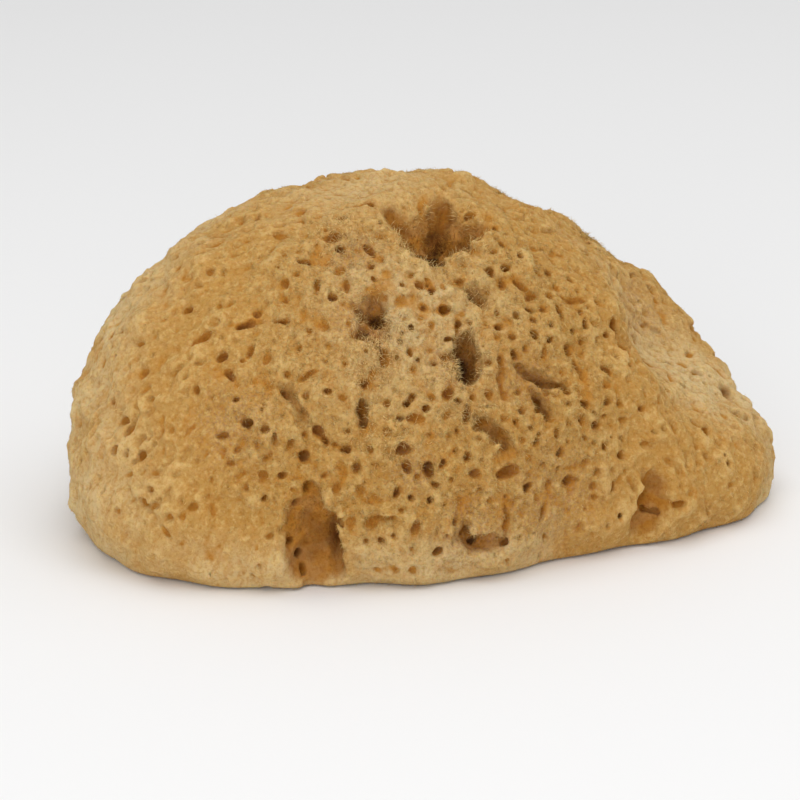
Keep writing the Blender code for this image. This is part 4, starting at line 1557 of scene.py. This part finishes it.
@dataclass(frozen=True)
class TissueFinish:
    """Ochre felt, cream on its ridges and its outer flanks, and orange to dark sepia down in the pores. The
    cream on the ridges is painted light, the paleness of the flanks is partly painted rim glow, and the
    orange to dark sepia in the pores and outlets is painted shade.
    """

    name: str = "ochre_felt"
    skin: Tone = Tone(0.475, 0.264, 0.071)
    cream: Tone = Tone(0.66, 0.455, 0.182)
    chalk: Tone = Tone(0.65, 0.50, 0.265)
    orange: Tone = Tone(0.46, 0.207, 0.032)
    pit_shade: Tone = Tone(0.32, 0.112, 0.016)
    outlet_shade: Tone = Tone(0.39, 0.155, 0.014)
    rosy_outlet_shade: Tone = Tone(0.40, 0.185, 0.045)
    throat_shade: Tone = Tone(0.15, 0.045, 0.005)
    mauve: Tone = Tone(0.34, 0.19, 0.12)
    tip: Tone = Tone(0.81, 0.58, 0.255)
    dull: Tone = Tone(0.80, 0.66, 0.45)
    flank_inset: float = 0.35
    flank_depth: float = 0.6
    tip_share: float = 0.0
    roughness: float = 0.92
    shine: float = 0.1
    glow: float = 0.3
    glow_reach: float = 0.9 * MM
    glow_spread: tuple[float, float, float] = (1.0, 0.45, 0.15)
    sheen: float = 0.05
    sheen_roughness: float = 0.6
    sheen_tint: Tone = Tone(1.0, 0.82, 0.50)
    bump_strength: float = 0.9
    bump_height: float = 0.28 * MM
    bump_grain: float = 0.5 * MM
    bump_streaks: float = 0.12

    def colour(self, graph: Graph) -> bpy.types.NodeSocket:
        """The tissue's colour, from its masks and from noise, with painted light on raised tissue and
        painted shade in pits and outlets.
        """
        relief = graph.mask("relief")
        outlet = graph.mask("outlet_depth")
        outer = graph.mask("outer")
        # Painted light: raised bumps are laid over with cream, as if lit, set against the painted shade in
        # the pits.
        colour = graph.lay(self.skin.rgba, self.cream, relief, -0.1, 0.6, 0.6)
        # Partly painted light: the pale flanks and base take chalk, partly as the tissue's own paler outer
        # zone and partly as a painted rim glow where light shines through the edges.
        cloud = graph.ramp(graph.noise(11 * MM, 3.0), 0.2, 0.6, 0.85)
        pale = graph.arithmetic("MULTIPLY", graph.mask("pale"), cloud)
        colour = graph.mix(pale, colour, self.chalk.rgba)
        honey = graph.ramp(graph.noise(2.4 * MM, 3.0, 0.6), 0.46, 0.66, 0.45)
        inner = graph.ramp(outer, 1.2, 0.0)
        colour = graph.mix(graph.arithmetic("MULTIPLY", honey, inner), colour, self.orange.rgba)
        colour = graph.lay(colour, self.cream, graph.noise(1.1 * MM, 3.0, 0.65), 0.48, 0.66, 0.50)
        streaks = graph.ramp(graph.streaks(2.5, 0.6), 0.48, 0.34, 0.35)
        colour = graph.mix(graph.arithmetic("MULTIPLY", outer, streaks), colour, self.orange.rgba)
        colour = graph.lay(colour, self.orange, graph.mask("groove"), 0.1, 0.7, 0.2)
        # Painted shade: pits turn orange, as if lit only by light scattered inside the tissue, less so on
        # the flanks.
        inset = graph.arithmetic("ADD", relief, graph.arithmetic("MULTIPLY", outer, self.flank_inset))
        colour = graph.lay(colour, self.orange, inset, -0.15, -0.60, 0.92)
        # Painted shade: deeper pits darken further.
        depth = graph.arithmetic("ADD", relief, graph.arithmetic("MULTIPLY", outer, self.flank_depth))
        colour = graph.lay(colour, self.pit_shade, depth, -0.9, -2.4, 0.90)
        # Painted shade: outlet walls darken to a warm orange, varied by a soft noise.
        blush = graph.ramp(graph.noise(3.5 * MM, 2.0), 0.42, 0.60)
        outlet_shade = graph.mix(blush, self.outlet_shade.rgba, self.rosy_outlet_shade.rgba)
        colour = graph.mix(graph.ramp(outlet, 0.3, 2.6, 0.88), colour, outlet_shade)
        # Painted shade: the deep throats of the outlets go nearly black.
        colour = graph.lay(colour, self.throat_shade, outlet, 3.4, 7.0, 0.95)
        # Mauve specks, laid in soft patches.
        specks = graph.ramp(graph.noise(0.5 * MM, 2.0), 0.45, 0.62)
        mauve_patch = graph.arithmetic("MULTIPLY", graph.mask("mauve_patch"), specks)
        colour = graph.lay(colour, self.mauve, mauve_patch, 0.1, 1.0, 0.36)
        fleck = graph.ramp(graph.noise(0.7 * MM, 4.0, 0.7), 0.56, 0.36, 0.7)
        return graph.mix(fleck, colour, graph.mix(1.0, colour, self.dull.rgba, "MULTIPLY"))

    def material(self) -> bpy.types.Material:
        """Makes the material."""
        graph = Graph(self.name)
        colour = self.colour(graph)
        if self.tip_share:
            strand = graph.ramp(graph.mask("strand"), 0.0, 1.0)
            share = graph.ramp(graph.mask("tip"), 0.0, 1.0, self.tip_share)
            # Painted shade: fibre tips down in an outlet stay as dark as the tissue there.
            open_air = graph.ramp(graph.mask("outlet_depth"), 1.2, 0.1)
            share = graph.arithmetic("MULTIPLY", share, open_air)
            share = graph.arithmetic("MULTIPLY", share, strand)
            colour = graph.mix(share, colour, self.tip.rgba)
        self.surface(graph, colour)
        self.relief(graph)
        return graph.material

    def surface(self, graph: Graph, colour: bpy.types.NodeSocket) -> None:
        """Sets up the surface: a matt, softly glowing skin of a colour."""
        settings = {
            "Base Color": colour,
            "Roughness": self.roughness,
            "Specular IOR Level": self.shine,
            "Subsurface Weight": self.glow,
            "Subsurface Radius": self.glow_spread,
            "Subsurface Scale": self.glow_reach,
            "Sheen Weight": self.sheen,
            "Sheen Roughness": self.sheen_roughness,
            "Sheen Tint": self.sheen_tint.rgba,
        }
        for name, value in settings.items():
            graph.feed(graph.shader.inputs[name], value)

    def relief(self, graph: Graph) -> None:
        """Adds the fibrous grain that is too fine for the mesh."""
        flank = graph.ramp(graph.mask("outer"), 0.0, 1.0, self.bump_streaks)
        along = graph.arithmetic("MULTIPLY", graph.streaks(2.0, 0.6), flank)
        height = graph.arithmetic("ADD", graph.noise(self.bump_grain, 3.0, 0.75), along)
        inputs = {"Strength": self.bump_strength, "Distance": self.bump_height, "Height": height}
        bump = graph.add("ShaderNodeBump", inputs)
        graph.feed(graph.shader.inputs["Normal"], bump.outputs["Normal"])


@dataclass(frozen=True)
class FibreFinish(TissueFinish):
    """The nap and the down: the tissue's colours with their painted light and shade, paler towards the
    tips, except down in the outlets, where the tips keep the painted shade.
    """

    name: str = "ochre_fibre"
    tip_share: float = 0.85
    glow_reach: float = 0.3 * MM
    sheen: float = 0.0


@dataclass(frozen=True)
class HairFinish(TissueFinish):
    """The pale hairs round the outlets, straw at the root and nearly white at the tip."""

    name: str = "pale_hair"
    root: Tone = Tone(0.56, 0.31, 0.075)
    tip: Tone = Tone(0.88, 0.63, 0.27)
    glow: float = 0.0
    sheen: float = 0.0

    def colour(self, graph: Graph) -> bpy.types.NodeSocket:
        """Straw to white along the hair, and browner down in an outlet, as painted shade."""
        colour = graph.lay(self.root.rgba, self.tip, graph.mask("tip"), 0.0, 0.7)
        # Painted shade: hairs down in an outlet are laid over with the outlet shade colour.
        return graph.lay(colour, self.outlet_shade, graph.mask("outlet_depth"), 1.0, 4.0, 0.9)


@dataclass(frozen=True)
class Softbox:
    """A large square light that faces the sponge: where it is in metres, its side and its power."""

    name: str
    place: tuple[float, float, float]
    size: float
    power: float


@dataclass
class Studio:
    """A plain pale floor, soft light and the camera at the photograph's viewing angle."""

    viewpoint: Viewpoint
    sensor: float = 36.0
    nearest: float = 0.05
    floor_size: float = 6.0
    floor_tone: Tone = Tone(0.86, 0.86, 0.86)
    floor_roughness: float = 0.9
    sky_tone: Tone = Tone(1.0, 1.0, 1.0)
    sky_strength: float = 0.53
    softboxes: tuple[Softbox, ...] = (
        Softbox("overhead", (0.05, -0.15, 0.85), 0.9, 4.2),
        Softbox("front", (-0.22, -0.95, 0.30), 0.7, 4.1),
        Softbox("right", (0.90, 0.05, 0.35), 0.6, 0.8),
    )

    def build(self) -> None:
        """Sets up the floor, the world, the lights and the camera."""
        self.floor()
        self.world()
        for softbox in self.softboxes:
            self.light_up(softbox)
        self.camera()
        bpy.context.scene.view_settings.view_transform = "Standard"

    def floor(self) -> None:
        """The floor, a pale matt sheet."""
        half = self.floor_size / 2
        points = np.array(((-half, -half, 0), (half, -half, 0), (half, half, 0), (-half, half, 0)), float)
        sheet = mesh_object("floor", points, np.array(((0, 1, 2, 3),)))
        graph = Graph("pale_floor")
        graph.shader.inputs["Base Color"].default_value = self.floor_tone.rgba
        graph.shader.inputs["Roughness"].default_value = self.floor_roughness
        sheet.data.materials.append(graph.material)

    def world(self) -> None:
        """An even white surrounding."""
        world = bpy.data.worlds.new("white_surround")
        world.use_nodes = True
        background = world.node_tree.nodes["Background"]
        background.inputs["Color"].default_value = self.sky_tone.rgba
        background.inputs["Strength"].default_value = self.sky_strength
        bpy.context.scene.world = world

    def light_up(self, softbox: Softbox) -> None:
        """Hangs a softbox in its place and aims it at the sponge."""
        light = bpy.data.lights.new(softbox.name, "AREA")
        light.size = softbox.size
        light.energy = softbox.power
        lamp = bpy.data.objects.new(softbox.name, light)
        lamp.location = softbox.place
        aim = Vector(self.viewpoint.target) - lamp.location
        lamp.rotation_euler = aim.to_track_quat("-Z", "Y").to_euler()
        bpy.context.scene.collection.objects.link(lamp)

    def camera(self) -> None:
        """The camera, at the distance and the lens that frame the sponge as photographed."""
        data = bpy.data.cameras.new("camera")
        data.sensor_width = self.sensor
        data.lens = self.sensor * self.viewpoint.distance / self.viewpoint.breadth
        data.clip_start = self.nearest
        camera = bpy.data.objects.new("camera", data)
        camera.location = self.viewpoint.eye
        camera.rotation_euler = Matrix(self.viewpoint.axes.T.tolist()).to_euler()
        bpy.context.scene.collection.objects.link(camera)
        bpy.context.scene.camera = camera


def main() -> None:
    """Builds the sponge's pieces in order, then the studio."""
    logging.basicConfig(level=logging.INFO, format="%(message)s")
    form = GrownForm()
    growth = Growth(form)
    viewpoint = Viewpoint()
    tissue = Tissue(form, growth, viewpoint)
    form_field, skin, tissue_field = tissue.build()
    masks = Masks(form, tissue, form_field, skin)

    body = SpongeBody(tissue_field, masks).build()
    body.data.materials.append(TissueFinish().material())
    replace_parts(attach(body, BODY), NODE)

    fibre_finish = FibreFinish().material()
    hair_finish = HairFinish().material()
    fleece = Fleece(body, tissue, tissue_field, masks)
    for fibres in SOWINGS:
        piece = fleece.build(fibres)
        piece.data.materials.append(hair_finish if fibres.kind is FibreKind.HAIR else fibre_finish)
        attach(piece, BODY)

    Studio(viewpoint).build()


if __name__ == "__main__":
    main()
